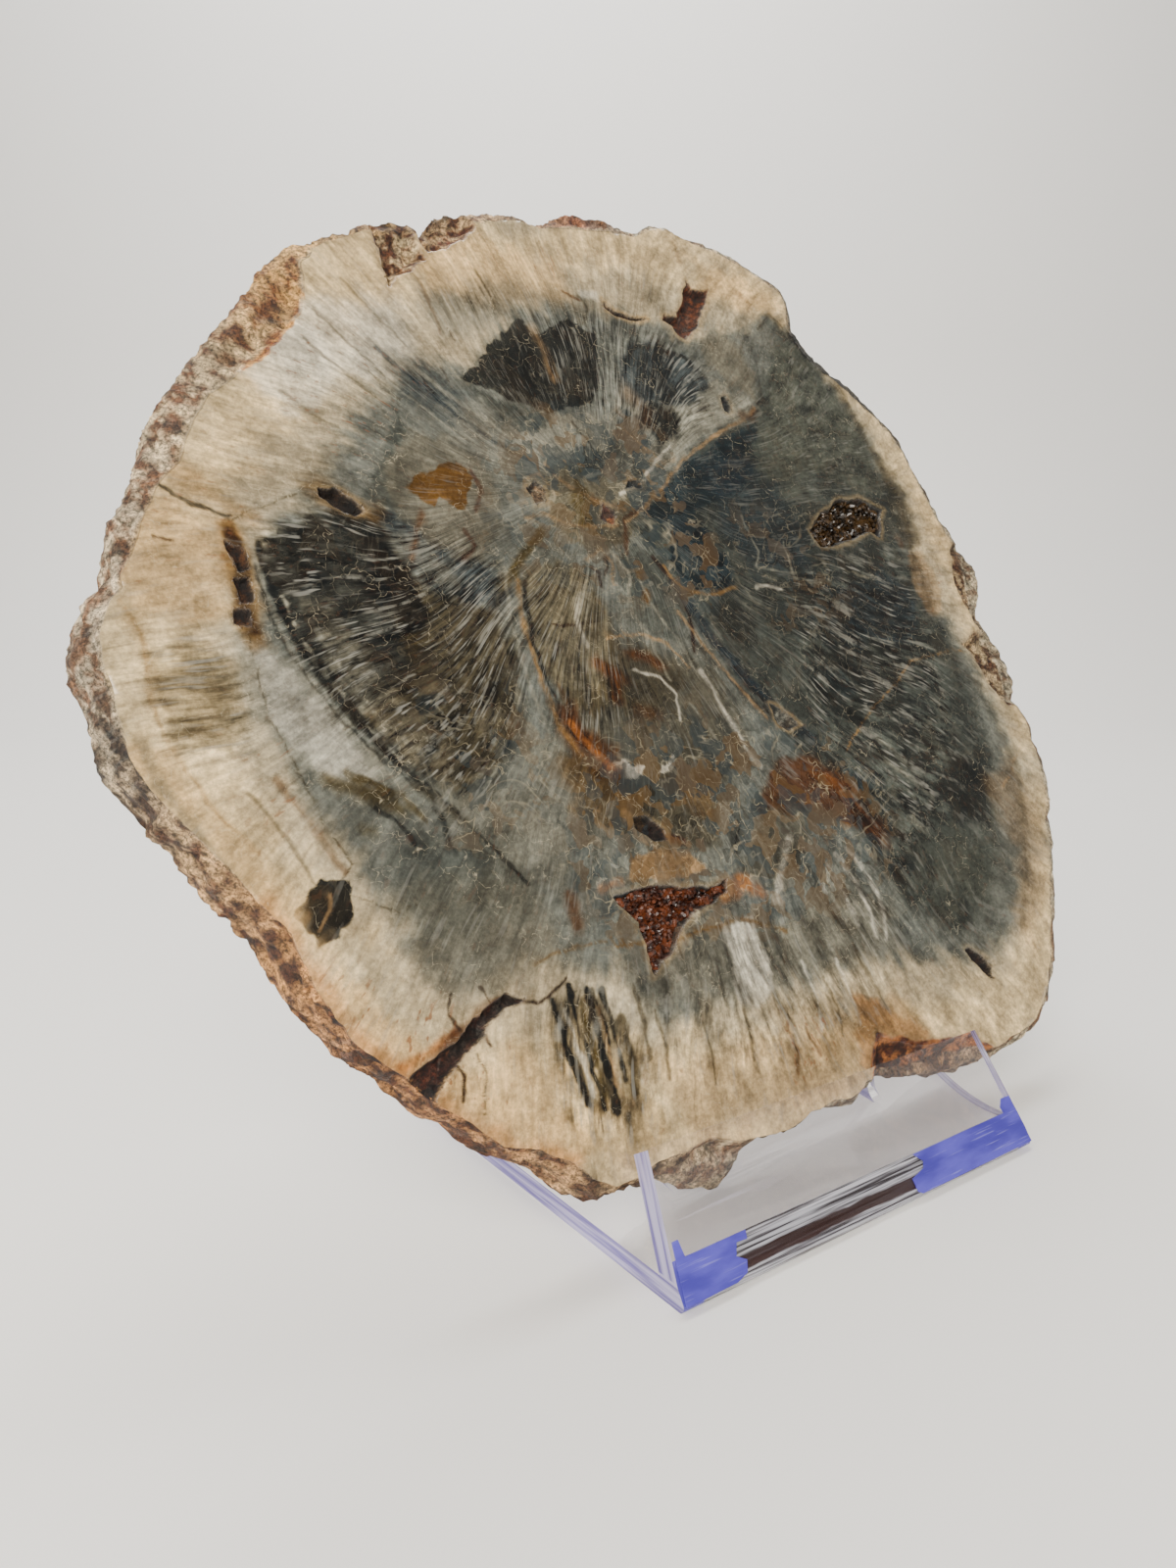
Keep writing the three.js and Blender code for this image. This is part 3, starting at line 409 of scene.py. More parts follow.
# Painted zones: colour, strength, width of the soft edge in mm, outline
zones = [
    ("paleGrey", 0.55, 12, [(-70, 226), (-40, 244), (0, 252), (40, 250), (74, 246), (96, 216), (112, 180),
        (116, 140), (124, 110), (120, 70), (104, 46), (80, 34), (40, 32), (0, 34), (-50, 44), (-80, 56),
        (-104, 78), (-124, 110), (-128, 150), (-112, 180)]),
    ("blueGrey", 0.86, 10, [(-62, 214), (-50, 212), (-30, 232), (-8, 236), (12, 238), (30, 233), (50, 238),
        (66, 248), (76, 240), (88, 222), (97, 205), (104, 185), (103, 165), (104, 150), (113, 135), (120,
        112), (117, 82), (108, 58), (94, 44), (74, 40), (54, 44), (40, 46), (20, 48), (0, 47), (-20, 48),
        (-38, 48), (-50, 60), (-72, 66), (-92, 64), (-100, 84), (-112, 104), (-118, 125), (-118, 145),
        (-110, 166), (-96, 178), (-84, 196)]),
    ("slate", 0.85, 8, [(-12, 171), (5, 184), (25, 199), (45, 208), (56, 220), (70, 244), (80, 234), (90,
        218), (97, 200), (101, 182), (96, 165), (102, 150), (106, 137), (109, 120), (108, 100), (103, 82),
        (94, 64), (82, 52), (68, 48), (58, 54), (48, 66), (42, 82), (32, 100), (16, 116), (8, 135), (0,
        152)]),
    ("smoothGrey", 0.8, 6, [(50, 206), (58, 222), (70, 243), (80, 232), (89, 215), (94, 198), (95, 187),
        (80, 188), (64, 192), (52, 198)]),
    ("smoothGrey", 0.25, 14, [(60, 80), (80, 76), (104, 70), (100, 52), (84, 46), (66, 50), (56, 62)]),
    ("mistGrey", 0.5, 10, [(-30, 70), (0, 60), (30, 70), (44, 58), (40, 48), (0, 48), (-40, 50), (-46,
        62)]),
    ("mistGrey", 0.35, 8, [(-60, 116), (-46, 112), (-44, 92), (-60, 80), (-80, 82), (-84, 100), (-72,
        112)]),
    ("charcoal", 0.86, 3.5, [(-111, 165), (-100, 170), (-90, 172), (-82, 168), (-78, 158), (-76, 148), (-79,
        137), (-84, 130), (-92, 127), (-99, 125), (-104, 132), (-108, 142), (-111, 152)]),
    ("black", 0.6, 5, [(-89, 166), (-84, 166), (-79, 156), (-78, 146), (-84, 138), (-88, 146), (-90, 156)]),
    ("umber", 0.8, 6, [(-84, 152), (-74, 154), (-62, 150), (-55, 140), (-58, 124), (-65, 112), (-78, 104),
        (-90, 112), (-98, 124), (-86, 132)]),
    ("inkBlue", 0.68, 4, [(-85, 175), (-72, 167), (-58, 160), (-52, 152), (-60, 148), (-72, 151), (-80,
        160)]),
    ("slate", 0.7, 2.5, [(-71, 199), (-76, 190), (-82, 180), (-85, 174), (-78, 172), (-74, 182)]),
    ("mistGrey", 0.65, 4, [(-80, 182), (-70, 192), (-58, 193), (-50, 184), (-50, 170), (-58, 160), (-70,
        163), (-78, 172)]),
    ("blueGrey", 0.6, 4, [(-62, 206), (-50, 206), (-40, 192), (-30, 187), (-40, 181), (-52, 185), (-60,
        194)]),
    ("paleGrey", 0.6, 4, [(-38, 200), (-26, 202), (-14, 204), (-10, 196), (-20, 190), (-32, 190), (-40,
        194)]),
    ("charcoal", 0.93, 0.9, [(-51.5, 209), (-46, 214.5), (-40, 221), (-30.5, 229.8), (-27, 226), (-24, 226),
        (-20, 229), (-15, 231), (-10, 229.6), (-6, 228), (-7, 221), (-9, 214), (-14, 206.5), (-22, 204),
        (-28, 202.5), (-36, 204), (-44, 207)]),
    ("black", 0.4, 5, [(-40, 216), (-31, 224), (-27, 216), (-27, 207), (-34, 206), (-40, 210)]),
    ("slate", 0.72, 2, [(-50, 207), (-44, 205), (-34, 203), (-28, 202), (-30, 197), (-36, 195.5), (-43,
        197), (-48, 201)]),
    ("inkBlue", 0.66, 4, [(-1, 214), (0, 222), (8, 229), (18, 229), (27, 225), (32, 219), (29, 213), (22,
        210), (12, 208), (4, 209)]),
    ("black", 0.3, 2.5, [(6, 216), (11, 219), (18, 216), (19, 211), (12, 209), (6, 211)]),
    ("paleGrey", 0.62, 4, [(-10, 200), (-2, 213), (8, 207), (22, 211), (36, 219), (48, 214), (45, 208.5),
        (34, 204.5), (22, 198.5), (12, 192.5), (2, 188), (-8, 192)]),
    ("mistGrey", 0.7, 4, [(33, 232), (42, 237), (50, 232), (53, 222), (49, 214), (42, 217), (35, 224)]),
    ("teal", 0.8, 2.2, [(-6, 174.6), (5, 182.6), (14, 190.6), (26, 197.4), (40, 204), (46, 206), (46, 196),
        (34, 186), (18, 178), (4, 168)]),
    ("teal", 0.9, 1.6, [(0, 166), (4, 172), (10, 174), (15, 172), (16, 166), (20, 162), (20, 155), (14,
        153.4), (8, 152.4), (3, 153.8), (-1, 158)]),
    ("blueGrey", 0.6, 2.5, [(1, 166), (6, 167), (10, 163), (8, 158), (3, 158)]),
    ("black", 0.65, 2, [(8, 173), (13, 173.5), (15, 168), (11, 166), (8, 169)]),
    ("charcoal", 0.5, 9, [(44, 160), (60, 164), (84, 168), (94, 152), (88, 132), (70, 120), (54, 112), (44,
        124), (40, 142)]),
    ("charcoal", 0.35, 8, [(22, 170), (40, 176), (56, 168), (50, 150), (32, 140), (20, 150)]),
    ("black", 0.62, 8, [(80, 92), (92, 100), (105, 99), (104, 86), (96, 79), (84, 80)]),
    ("teal", 0.45, 5, [(50, 146), (60, 146), (70, 140), (62, 132), (50, 136)]),
    ("teal", 0.4, 5, [(44, 130), (54, 130), (56, 120), (46, 118)]),
    ("ochre", 0.92, 0.9, [(-74, 178), (-71, 182), (-66, 183), (-62, 186), (-58, 185), (-56, 182), (-58,
        178), (-59, 174.5), (-63, 174), (-66, 176), (-69, 173.5)]),
    ("figure", 0.62, 3.5, [(-50, 156), (-44, 160), (-34, 160), (-27, 155), (-26, 135), (-28, 124), (-38,
        120), (-47, 124), (-51, 138)]),
    ("umber", 0.55, 8, [(-48, 124), (-20, 136), (4, 132), (10, 112), (4, 100), (-20, 96), (-42, 100), (-50,
        112)]),
    ("figure", 0.5, 4, [(-36, 184), (-24, 188), (-12, 184), (-8, 174), (-14, 166), (-26, 163), (-36, 169)]),
    ("olive", 0.55, 3, [(-28, 180), (-22, 181), (-19, 175), (-22, 170), (-28, 171)]),
    ("bone", 0.96, 0.6, [(-38.6, 105.2), (-30, 103.4), (-27.8, 106), (-33, 108.3), (-38.6, 107.8)]),
    ("bone", 0.92, 0.6, [(-23.5, 103.8), (-17, 106.3), (-17.6, 108.2), (-22.3, 106)]),
    ("rust", 0.85, 5, [(6, 92), (14, 102), (22, 106), (32, 104), (40, 98), (47, 90), (53, 80), (50, 75),
        (43, 80), (34, 86), (26, 90), (18, 90)]),
    ("umber", 0.45, 5, [(-4, 76), (8, 92), (20, 96), (30, 88), (20, 80), (6, 70)]),
    ("tan", 0.85, 1.4, [(-41, 79.5), (-37, 84.5), (-28, 86.4), (-20, 83.5), (-16, 79), (-24, 78), (-32,
        78.6)]),
    ("tan", 0.7, 1.2, [(-18, 98), (-12, 101), (-8.6, 97), (-9.5, 92), (-15.5, 92)]),
    ("bone", 0.5, 2.5, [(-17, 66), (-6, 66), (-5, 50), (-10, 44), (-16, 46)]),
    ("umber", 0.55, 4, [(-68, 57), (-58, 58), (-52, 50), (-50, 40), (-53, 33), (-62, 32), (-68, 38), (-70,
        48)]),
    ("ochre", 0.35, 4, [(-71, 37), (-50, 34), (-46, 24), (-58, 20), (-70, 26)]),
    ("black", 0.94, 0.8, [(-119, 85), (-113, 91), (-108, 90), (-107.5, 85), (-112, 79), (-115.5, 78)]),
    ("bone", 0.5, 2.2, [(-122, 80), (-117, 79), (-113, 76), (-114, 71), (-120, 71)]),
    ("blueGrey", 0.25, 5, [(-119, 138), (-112, 142), (-106, 128), (-98, 114), (-102, 108), (-112, 112),
        (-118, 124)]),
    ("slate", 0.3, 9, [(-98, 96), (-84, 98), (-70, 94), (-64, 80), (-76, 72), (-94, 74)]),
    ("mistGrey", 0.5, 6, [(-100, 86), (-84, 88), (-68, 84), (-62, 72), (-70, 62), (-88, 62), (-98, 68)]),
    ("figure", 0.5, 4, [(-138, 139), (-129, 142), (-121, 136), (-121, 124), (-126, 118), (-136, 121)]),
    ("tan", 0.5, 3, [(98, 168), (106, 166), (110, 156), (108, 146), (100, 144), (97, 152)]),
    ("orange", 0.5, 4, [(18, 22), (22, 40), (34, 34), (46, 26), (40, 18)]),
    ("warmCream", 0.6, 7, [(-60, 246), (-40, 252), (-14, 250), (-10, 238), (-30, 234), (-56, 232)]),
    ("warmCream", 0.6, 8, [(40, 262), (60, 258), (74, 252), (70, 246), (52, 246), (40, 252)]),
    ("orange", 0.08, 5, [(-112, 205), (-106, 200), (-97, 212), (-88, 226), (-88, 236), (-100, 222)]),
    ("paleGrey", 0.55, 5, [(-119, 142), (-110, 138), (-102, 126), (-94, 112), (-98, 104), (-108, 110),
        (-117, 122), (-121, 134)]),
    ("charcoal", 0.8, 3, [(4, 208), (10, 209), (16, 206), (15, 200), (9, 197), (3, 201)]),
    ("inkBlue", 0.5, 3, [(-4, 206), (3, 204), (2, 196), (-4, 192), (-9, 197)]),
    ("tan", 0.4, 8, [(-48, 40), (-20, 36), (10, 34), (40, 38), (44, 24), (10, 18), (-40, 20)]),
    ("ochre", 0.3, 6, [(-8, 44), (14, 42), (36, 38), (44, 30), (20, 26), (-4, 30)]),
    ("paleGrey", 0.35, 8, [(-112, 80), (-92, 72), (-80, 60), (-76, 44), (-92, 46), (-108, 60)]),
    ("umber", 0.55, 4, [(-34, 104), (-14, 104), (-6, 96), (-10, 84), (-24, 86), (-38, 88), (-44, 98)]),
    ("umber", 0.5, 5, [(98, 200), (104, 196), (108, 184), (108, 172), (100, 166), (97, 182)]),
    ("smoothGrey", 0.7, 7, [(48, 206), (60, 204), (66, 192), (56, 184), (44, 188), (42, 198)]),
    ("smoothGrey", 0.4, 8, [(66, 72), (84, 76), (92, 64), (84, 54), (68, 54)]),
    ("bone", 0.6, 9, [(-106, 216), (-90, 226), (-66, 228), (-64, 214), (-78, 206), (-96, 204)]),
    ("mistGrey", 0.35, 4, [(-84, 168), (-72, 164), (-64, 154), (-70, 152), (-80, 160)]),
    ("inkBlue", 0.5, 6, [(18, 192), (36, 198), (46, 186), (54, 172), (52, 160), (30, 158), (20, 172)]),
    ("inkBlue", 0.4, 5, [(-74, 216), (-62, 214), (-46, 200), (-30, 190), (-38, 184), (-54, 192), (-70,
        202)]),
    ("inkBlue", 0.5, 4, [(60, 152), (84, 160), (96, 150), (90, 134), (74, 136), (62, 142)]),
    ("charcoal", 0.7, 3, [(8, 149), (18, 150), (25, 144), (23, 136), (14, 139), (8, 144)]),
    ("slate", 0.6, 4, [(-16, 168), (0, 160), (2, 146), (-4, 138), (-14, 142), (-20, 154)]),
    ("umber", 0.5, 4, [(-30, 138), (-16, 138), (-8, 128), (-14, 118), (-28, 118), (-34, 128)]),
    ("rust", 0.55, 4, [(-48, 124), (-42, 120), (-33, 106), (-36, 101), (-44, 108), (-50, 116)]),
    ("charcoal", 0.5, 2.5, [(-10, 196), (0, 194), (6, 188), (-2, 182), (-12, 184), (-16, 190)]),
    ("teal", 0.6, 2, [(-24, 192), (-16, 194), (-14, 186), (-20, 182), (-26, 185)]),
    ("charcoal", 0.2, 3, [(-44, 190), (-34, 190), (-30, 182), (-38, 178), (-46, 182)]),
    ("ochre", 0.5, 5, [(-50, 112), (-36, 108), (-30, 98), (-40, 92), (-52, 98)]),
    ("warmCream", 0.5, 6, [(-140, 168), (-128, 172), (-118, 160), (-122, 146), (-138, 148), (-144, 156)]),
    ("tan", 0.35, 7, [(100, 90), (118, 96), (124, 76), (114, 52), (100, 36), (94, 46), (108, 66)]),
    ("blueGrey", 0.45, 6, [(-60, 232), (-30, 240), (-4, 240), (-6, 232), (-30, 230), (-54, 220)]),
    ("bone", 0.35, 4, [(-119, 142), (-112, 138), (-104, 124), (-98, 110), (-108, 112), (-117, 124)]),
    ("paleGrey", 0.5, 6, [(-60, 200), (-48, 204), (-34, 194), (-34, 182), (-48, 182), (-58, 190)]),
    ("bone", 0.55, 6, [(-110, 206), (-98, 220), (-86, 216), (-86, 202), (-100, 194)]),
    ("slate", 0.3, 8, [(-98, 94), (-84, 98), (-70, 92), (-68, 78), (-84, 74), (-96, 78)]),
    ("black", 0.45, 3, [(4, 208), (10, 209), (16, 206), (15, 200), (9, 197), (3, 201)]),
    ("rust", 0.5, 4, [(24, 98), (34, 100), (46, 88), (46, 82), (32, 86)]),
    ("gold", 0.22, 7, [(-142, 176), (-126, 180), (-116, 166), (-120, 148), (-138, 146), (-146, 160)]),
    ("warmCream", 0.6, 8, [(-98, 50), (-80, 50), (-70, 42), (-72, 32), (-86, 34), (-98, 44)]),
    ("umber", 0.3, 6, [(-36, 108), (-14, 108), (-6, 96), (-10, 86), (-30, 86)]),
    ("teal", 0.4, 3, [(4, 168), (14, 168), (18, 160), (12, 156), (4, 158)]),
    ("mistGrey", 0.4, 5, [(-105, 150), (-99, 150), (-92, 136), (-86, 124), (-74, 112), (-82, 106), (-94,
        120), (-102, 134)]),
    ("black", 0.75, 3, [(-89, 168), (-83, 167), (-78, 156), (-76, 146), (-81, 141), (-86, 150)]),
    ("black", 0.5, 3, [(-106, 160), (-98, 162), (-96, 150), (-104, 150)]),
]

# Painted strokes: colour, strength, width and soft edge in mm, points
strokes = [
    ("warmCream", 0.7, 9, 5, [(-72, 28), (-84, 34), (-95, 44), (-105, 55), (-115, 67), (-120, 79), (-127,
        92), (-136, 106), (-141, 118)]),
    ("orange", 0.5, 4, 4, [(-72, 25), (-84, 30.5), (-95, 40), (-105, 51), (-114, 62), (-119, 75), (-125,
        88)]),
    ("mistGrey", 0.6, 2.2, 2, [(-142, 122), (-140, 113), (-136, 105), (-131, 96)]),
    ("gold", 0.5, 0.8, 1, [(-141, 150), (-138, 143), (-139, 132), (-137, 121), (-131, 108), (-124, 98)]),
    ("paleGrey", 0.6, 3, 2, [(-119.5, 142), (-119.5, 126)]),
    ("gold", 0.65, 5, 3, [(-117, 165), (-116.3, 153), (-117.5, 145)]),
    ("gold", 0.55, 4, 4, [(-126, 179), (-119, 173), (-112, 168)]),
    ("ochre", 0.7, 4.4, 2.4, [(-117.6, 166), (-116, 156), (-117.8, 147), (-116.6, 142)]),
    ("deepBrown", 0.85, 2.4, 1.8, [(-117.6, 165), (-115.8, 158), (-117.4, 151), (-116.6, 144)]),
    ("ochre", 0.55, 6, 3, [(-98, 177), (-91, 174), (-84, 171)]),
    ("charcoal", 0.85, 1.6, 1, [(-110.5, 152), (-108.5, 142), (-104.5, 133), (-99, 123), (-93, 115), (-87,
        108), (-84, 100), (-83, 92)]),
    ("charcoal", 0.75, 1, 0.8, [(-107.5, 150), (-105.5, 141), (-101.5, 132), (-96, 122), (-90, 114)]),
    ("paleGrey", 0.7, 0.8, 0.7, [(-109, 151), (-107, 141.5), (-103, 132.5), (-97.5, 122.5), (-91.5,
        114.5)]),
    ("paleGrey", 0.5, 0.9, 0.8, [(-112.5, 152), (-110.5, 141), (-106, 130), (-100, 120), (-93, 110), (-89,
        100)]),
    ("paleGrey", 0.4, 0.8, 0.8, [(-104, 146), (-99, 133), (-92, 122), (-84, 113)]),
    ("olive", 0.75, 3, 2.5, [(-107, 111), (-101, 108), (-96, 105), (-93, 103)]),
    ("olive", 0.5, 2.5, 2.5, [(-102, 100), (-100, 99)]),
    ("olive", 0.85, 2.2, 1.4, [(-40, 168), (-46, 162.5), (-51, 157.5), (-56, 153.5)]),
    ("gold", 0.75, 1.2, 1, [(-50, 155), (-51.5, 147), (-51.5, 138), (-50, 128), (-48.5, 118), (-44, 111)]),
    ("paleGrey", 0.55, 0.8, 0.8, [(-53, 158), (-55, 147), (-54.5, 132), (-52, 117)]),
    ("mistGrey", 0.5, 0.8, 0.8, [(-57, 152), (-59, 138), (-57.5, 122), (-54, 110)]),
    ("paleGrey", 0.5, 0.7, 0.7, [(-48, 166), (-42, 163), (-37, 165), (-34, 161)]),
    ("deepBrown", 0.75, 0.6, 0.5, [(-45, 144), (-38, 143.4), (-30, 144.2)]),
    ("rust", 0.65, 3, 2.5, [(-45, 118), (-40, 114), (-35, 111)]),
    ("rust", 0.6, 2.5, 2, [(-30, 131), (-26, 129)]),
    ("rust", 0.65, 2, 1.6, [(-21, 135), (-16, 133.5), (-14, 131.5)]),
    ("rust", 0.5, 3, 2.5, [(-25, 121), (-18, 119)]),
    ("rust", 0.45, 2, 2, [(-46, 128), (-43, 122)]),
    ("bone", 0.55, 1.5, 1.3, [(-1, 130), (2, 124), (3.4, 118), (6.6, 112), (8, 107), (10.5, 103)]),
    ("paleGrey", 0.6, 0.8, 0.8, [(-8, 122), (-2, 112), (2, 104), (8, 100)]),
    ("charcoal", 0.6, 1.2, 1, [(-2, 140), (4, 133), (10, 126), (18, 118)]),
    ("inkBlue", 0.6, 2.5, 2, [(3, 142), (10, 133), (16, 125), (22, 117)]),
    ("deepBrown", 0.85, 1.0, 0.7, [(-6.5, 162), (-3, 157), (-0.5, 151), (0.5, 142), (-1, 136)]),
    ("gold", 0.8, 0.8, 0.6, [(-4, 160), (-1, 155.6), (3, 153), (8, 151.5), (14, 152.6), (20, 154)]),
    ("tan", 0.8, 0.9, 0.6, [(-13, 172), (-3, 178.4), (5, 184), (13, 191.8), (25, 198.8), (35, 204.4), (44,
        207.8), (48.5, 212)]),
    ("rust", 0.75, 1.2, 0.9, [(-15.5, 163), (-14, 168), (-13, 173), (-7, 176)]),
    ("rust", 0.6, 1.5, 1.2, [(-21, 178), (-17, 175), (-18, 171)]),
    ("tan", 0.7, 0.8, 0.7, [(-34, 187), (-28, 181), (-22, 178), (-12, 176)]),
    ("tan", 0.65, 0.8, 0.7, [(-44, 172), (-38, 173), (-31, 171), (-23, 170), (-15, 171)]),
    ("tan", 0.6, 0.7, 0.6, [(-42, 176), (-41, 182), (-36, 184), (-33, 179)]),
    ("paleGrey", 0.6, 0.8, 0.7, [(-9, 190), (-15, 186), (-22, 184.5)]),
    ("paleGrey", 0.55, 1, 0.8, [(-5, 183), (3, 187), (10, 193)]),
    ("olive", 0.7, 3, 2, [(-24, 186), (-26, 180), (-27, 172)]),
    ("ochre", 0.9, 2.2, 0.9, [(-12.5, 158), (-12.6, 156.6)]),
    ("ochre", 0.9, 2.6, 0.9, [(-12.3, 153), (-12.7, 151.2)]),
    ("deepBrown", 0.8, 1, 0.6, [(-26, 154), (-25, 157), (-27.5, 159)]),
    ("deepBrown", 0.8, 1, 0.6, [(-22.5, 163), (-22.3, 159), (-24, 157)]),
    ("tan", 0.6, 0.8, 0.6, [(-28, 161), (-23, 164.5), (-20.5, 160), (-22, 154)]),
    ("charcoal", 0.8, 1.4, 1, [(2, 221), (8, 226.5), (16, 227), (25, 226), (31, 220.5)]),
    ("charcoal", 0.7, 2.5, 2, [(9, 208), (8, 201), (6, 194)]),
    ("charcoal", 0.6, 1.2, 1, [(10, 231), (9, 224), (7, 216)]),
    ("charcoal", 0.6, 1.2, 1, [(18, 229), (15, 221), (12, 214)]),
    ("rust", 0.4, 4, 4, [(0, 211), (5, 206), (2, 202)]),
    ("rust", 0.5, 2, 2, [(42, 209), (46, 208.6), (48, 211)]),
    ("tan", 0.5, 2.5, 2.5, [(-27, 227), (-24.5, 220), (-24, 213)]),
    ("charcoal", 0.85, 1.1, 0.6, [(49.5, 213), (53, 214.5), (57.5, 217.8)]),
    ("charcoal", 0.5, 0.8, 1, [(54, 237), (55, 228), (53, 219)]),
    ("umber", 0.5, 1, 1, [(60, 240), (67, 247), (72, 243)]),
    ("black", 0.95, 3, 1.4, [(75, 240.5), (78, 235), (84, 231), (90, 228), (97, 222.5), (103, 217)]),
    ("umber", 0.6, 2.5, 4, [(90, 224), (93, 214), (96, 204), (100, 194), (103, 184), (103, 172), (99,
        160)]),
    ("umber", 0.4, 2, 4, [(112, 122), (117, 106), (120, 92), (116, 80), (112, 70), (107, 60), (98, 46)]),
    ("rust", 0.8, 2.2, 1.4, [(95.5, 171), (97, 169)]),
    ("umber", 0.6, 1.2, 1.2, [(101, 166), (103, 160), (101, 154)]),
    ("gold", 0.75, 0.5, 0.45, [(45, 105), (52, 110), (62, 117), (72, 122), (84, 130), (95, 131.5), (111,
        133)]),
    ("tan", 0.6, 0.4, 0.4, [(107, 86), (115, 91), (125, 99)]),
    ("paleGrey", 0.55, 0.6, 0.6, [(30, 176), (32.5, 165), (30, 160), (45, 158)]),
    ("paleGrey", 0.5, 0.6, 0.6, [(44, 168), (44, 157), (55, 155)]),
    ("paleGrey", 0.45, 1.4, 1.4, [(60, 100), (68, 94), (75, 88)]),
    ("paleGrey", 0.4, 1.4, 1.4, [(63, 83), (67, 78)]),
    ("paleGrey", 0.4, 1.2, 1.2, [(58, 108), (66, 101), (72, 94)]),
    ("bone", 0.55, 1.4, 1.2, [(29, 77), (33, 69), (36, 60), (35, 53)]),
    ("bone", 0.5, 1.3, 1.2, [(34, 77), (39, 69), (41, 60), (39, 52)]),
    ("bone", 0.4, 1.2, 1.2, [(24, 75), (28, 66), (30, 57)]),
    ("bone", 0.45, 2.5, 2, [(4, 68), (8, 75), (14, 83)]),
    ("orange", 0.3, 3.5, 2.5, [(31, 99), (38, 94), (44, 87)]),
    ("deepBrown", 0.8, 1.4, 1, [(40, 93), (43, 84), (47.5, 76)]),
    ("charcoal", 0.6, 2, 2, [(22, 90), (26, 84), (30, 79)]),
    ("charcoal", 0.55, 2, 2, [(50, 72), (50, 64), (54, 56)]),
    ("orange", 0.7, 4, 2.5, [(-13, 72), (-6, 74), (-1, 71)]),
    ("orange", 0.5, 2.5, 2, [(-48, 79), (-43, 80)]),
    ("redBrown", 0.9, 2, 1.2, [(-27, 89), (-21, 86.8)]),
    ("tan", 0.6, 2, 1.4, [(-36, 96), (-35, 90), (-30, 87)]),
    ("rust", 0.7, 3, 2.5, [(-57, 79), (-57, 72)]),
    ("black", 0.92, 0.9, 0.7, [(-57, 58), (-56, 47), (-57.5, 36)]),
    ("black", 0.75, 1.4, 1, [(-64.5, 56), (-66, 46), (-64, 36)]),
    ("charcoal", 0.6, 0.8, 0.8, [(-61, 54), (-61, 42)]),
    ("charcoal", 0.6, 0.8, 0.8, [(-53, 50), (-52, 40)]),
    ("redBrown", 0.85, 4.4, 2, [(-106, 47), (-101, 46)]),
    ("deepBrown", 0.96, 2.0, 1, [(-102, 47.5), (-97, 50), (-90, 54)]),
    ("deepBrown", 0.96, 1.4, 0.9, [(-90, 54), (-85, 58), (-80, 60)]),
    ("deepBrown", 0.92, 0.7, 0.7, [(-80, 60), (-75, 58.5), (-70, 58), (-63, 61.5)]),
    ("orange", 0.7, 2, 2, [(-104, 52), (-98, 53.5), (-92, 56)]),
    ("umber", 0.8, 0.4, 0.5, [(-88, 51), (-87, 46), (-89, 39)]),
    ("tan", 0.6, 0.6, 0.6, [(-115.5, 81), (-112.5, 85), (-111.5, 88)]),
    ("umber", 0.7, 0.35, 0.45, [(-117.5, 142), (-117, 125), (-113, 112), (-109, 100), (-106, 93), (-109,
        90)]),
    ("umber", 0.65, 0.35, 0.45, [(-107, 87), (-98, 82), (-94, 83)]),
    ("umber", 0.7, 0.4, 0.5, [(-117, 168), (-108, 172), (-101, 175)]),
    ("deepBrown", 0.8, 0.6, 0.5, [(-65, 211), (-61, 204)]),
    ("deepBrown", 0.7, 0.5, 0.5, [(-57, 211.5), (-56, 208)]),
    ("deepBrown", 0.7, 0.5, 0.5, [(-52.5, 223), (-51.3, 219.5)]),
    ("deepBrown", 0.8, 0.6, 0.5, [(-133, 163.5), (-129.5, 162.8)]),
    ("umber", 0.6, 0.4, 0.5, [(-77, 208), (-74, 203), (-71, 200.5)]),
    ("umber", 0.6, 0.4, 0.5, [(20, 41), (23, 35), (26, 29)]),
    ("umber", 0.5, 0.8, 0.8, [(-8, 240), (-6, 236), (-9, 231)]),
    ("bone", 0.6, 2.6, 1.6, [(-6, 241), (-2, 241)]),
    ("rust", 0.7, 0.8, 0.7, [(-13, 240.3), (-8, 238.6)]),
    ("rust", 0.35, 2, 2, [(34, 266), (35, 259)]),
    ("rust", 0.35, 2, 2, [(56, 252), (60, 249)]),
    ("charcoal", 0.5, 0.7, 0.8, [(-48, 94), (-47, 89), (-48.5, 85)]),
    ("charcoal", 0.45, 0.7, 0.8, [(-55.5, 98), (-54.5, 94)]),
    ("black", 0.8, 1.0, 0.6, [(-48.5, 155), (-50, 146), (-50, 137), (-48.6, 128), (-46, 118), (-41, 108)]),
    ("black", 0.85, 1.6, 0.9, [(-112, 163), (-111, 152), (-108, 143), (-103.5, 133), (-98, 123), (-91,
        113)]),
    ("black", 0.7, 0.9, 0.7, [(-86, 108), (-78, 98), (-71, 89), (-67, 83)]),
    ("black", 0.6, 0.8, 0.6, [(-113.5, 158), (-113, 148), (-110, 138), (-104, 127), (-97, 117), (-88,
        107)]),
    ("rust", 0.8, 4, 2.5, [(-46, 121), (-42, 113), (-36, 106)]),
    ("orange", 0.6, 1.6, 1.2, [(-45, 119), (-41, 112), (-37, 107)]),
    ("rust", 0.8, 3.4, 2, [(-33, 134), (-29, 130), (-30, 124)]),
    ("rust", 0.7, 2.4, 2, [(-24, 136), (-17, 135), (-13, 132)]),
    ("redBrown", 0.7, 1.2, 0.8, [(-56, 184), (-55, 178), (-57, 173)]),
    ("redBrown", 0.7, 1.0, 0.8, [(-62, 168), (-60, 164), (-64, 160)]),
    ("rust", 0.6, 1.2, 1, [(-72, 172), (-75, 166), (-77, 160)]),
    ("inkBlue", 0.8, 3.4, 2, [(1, 150), (7, 138), (15, 127), (24, 117), (33, 108)]),
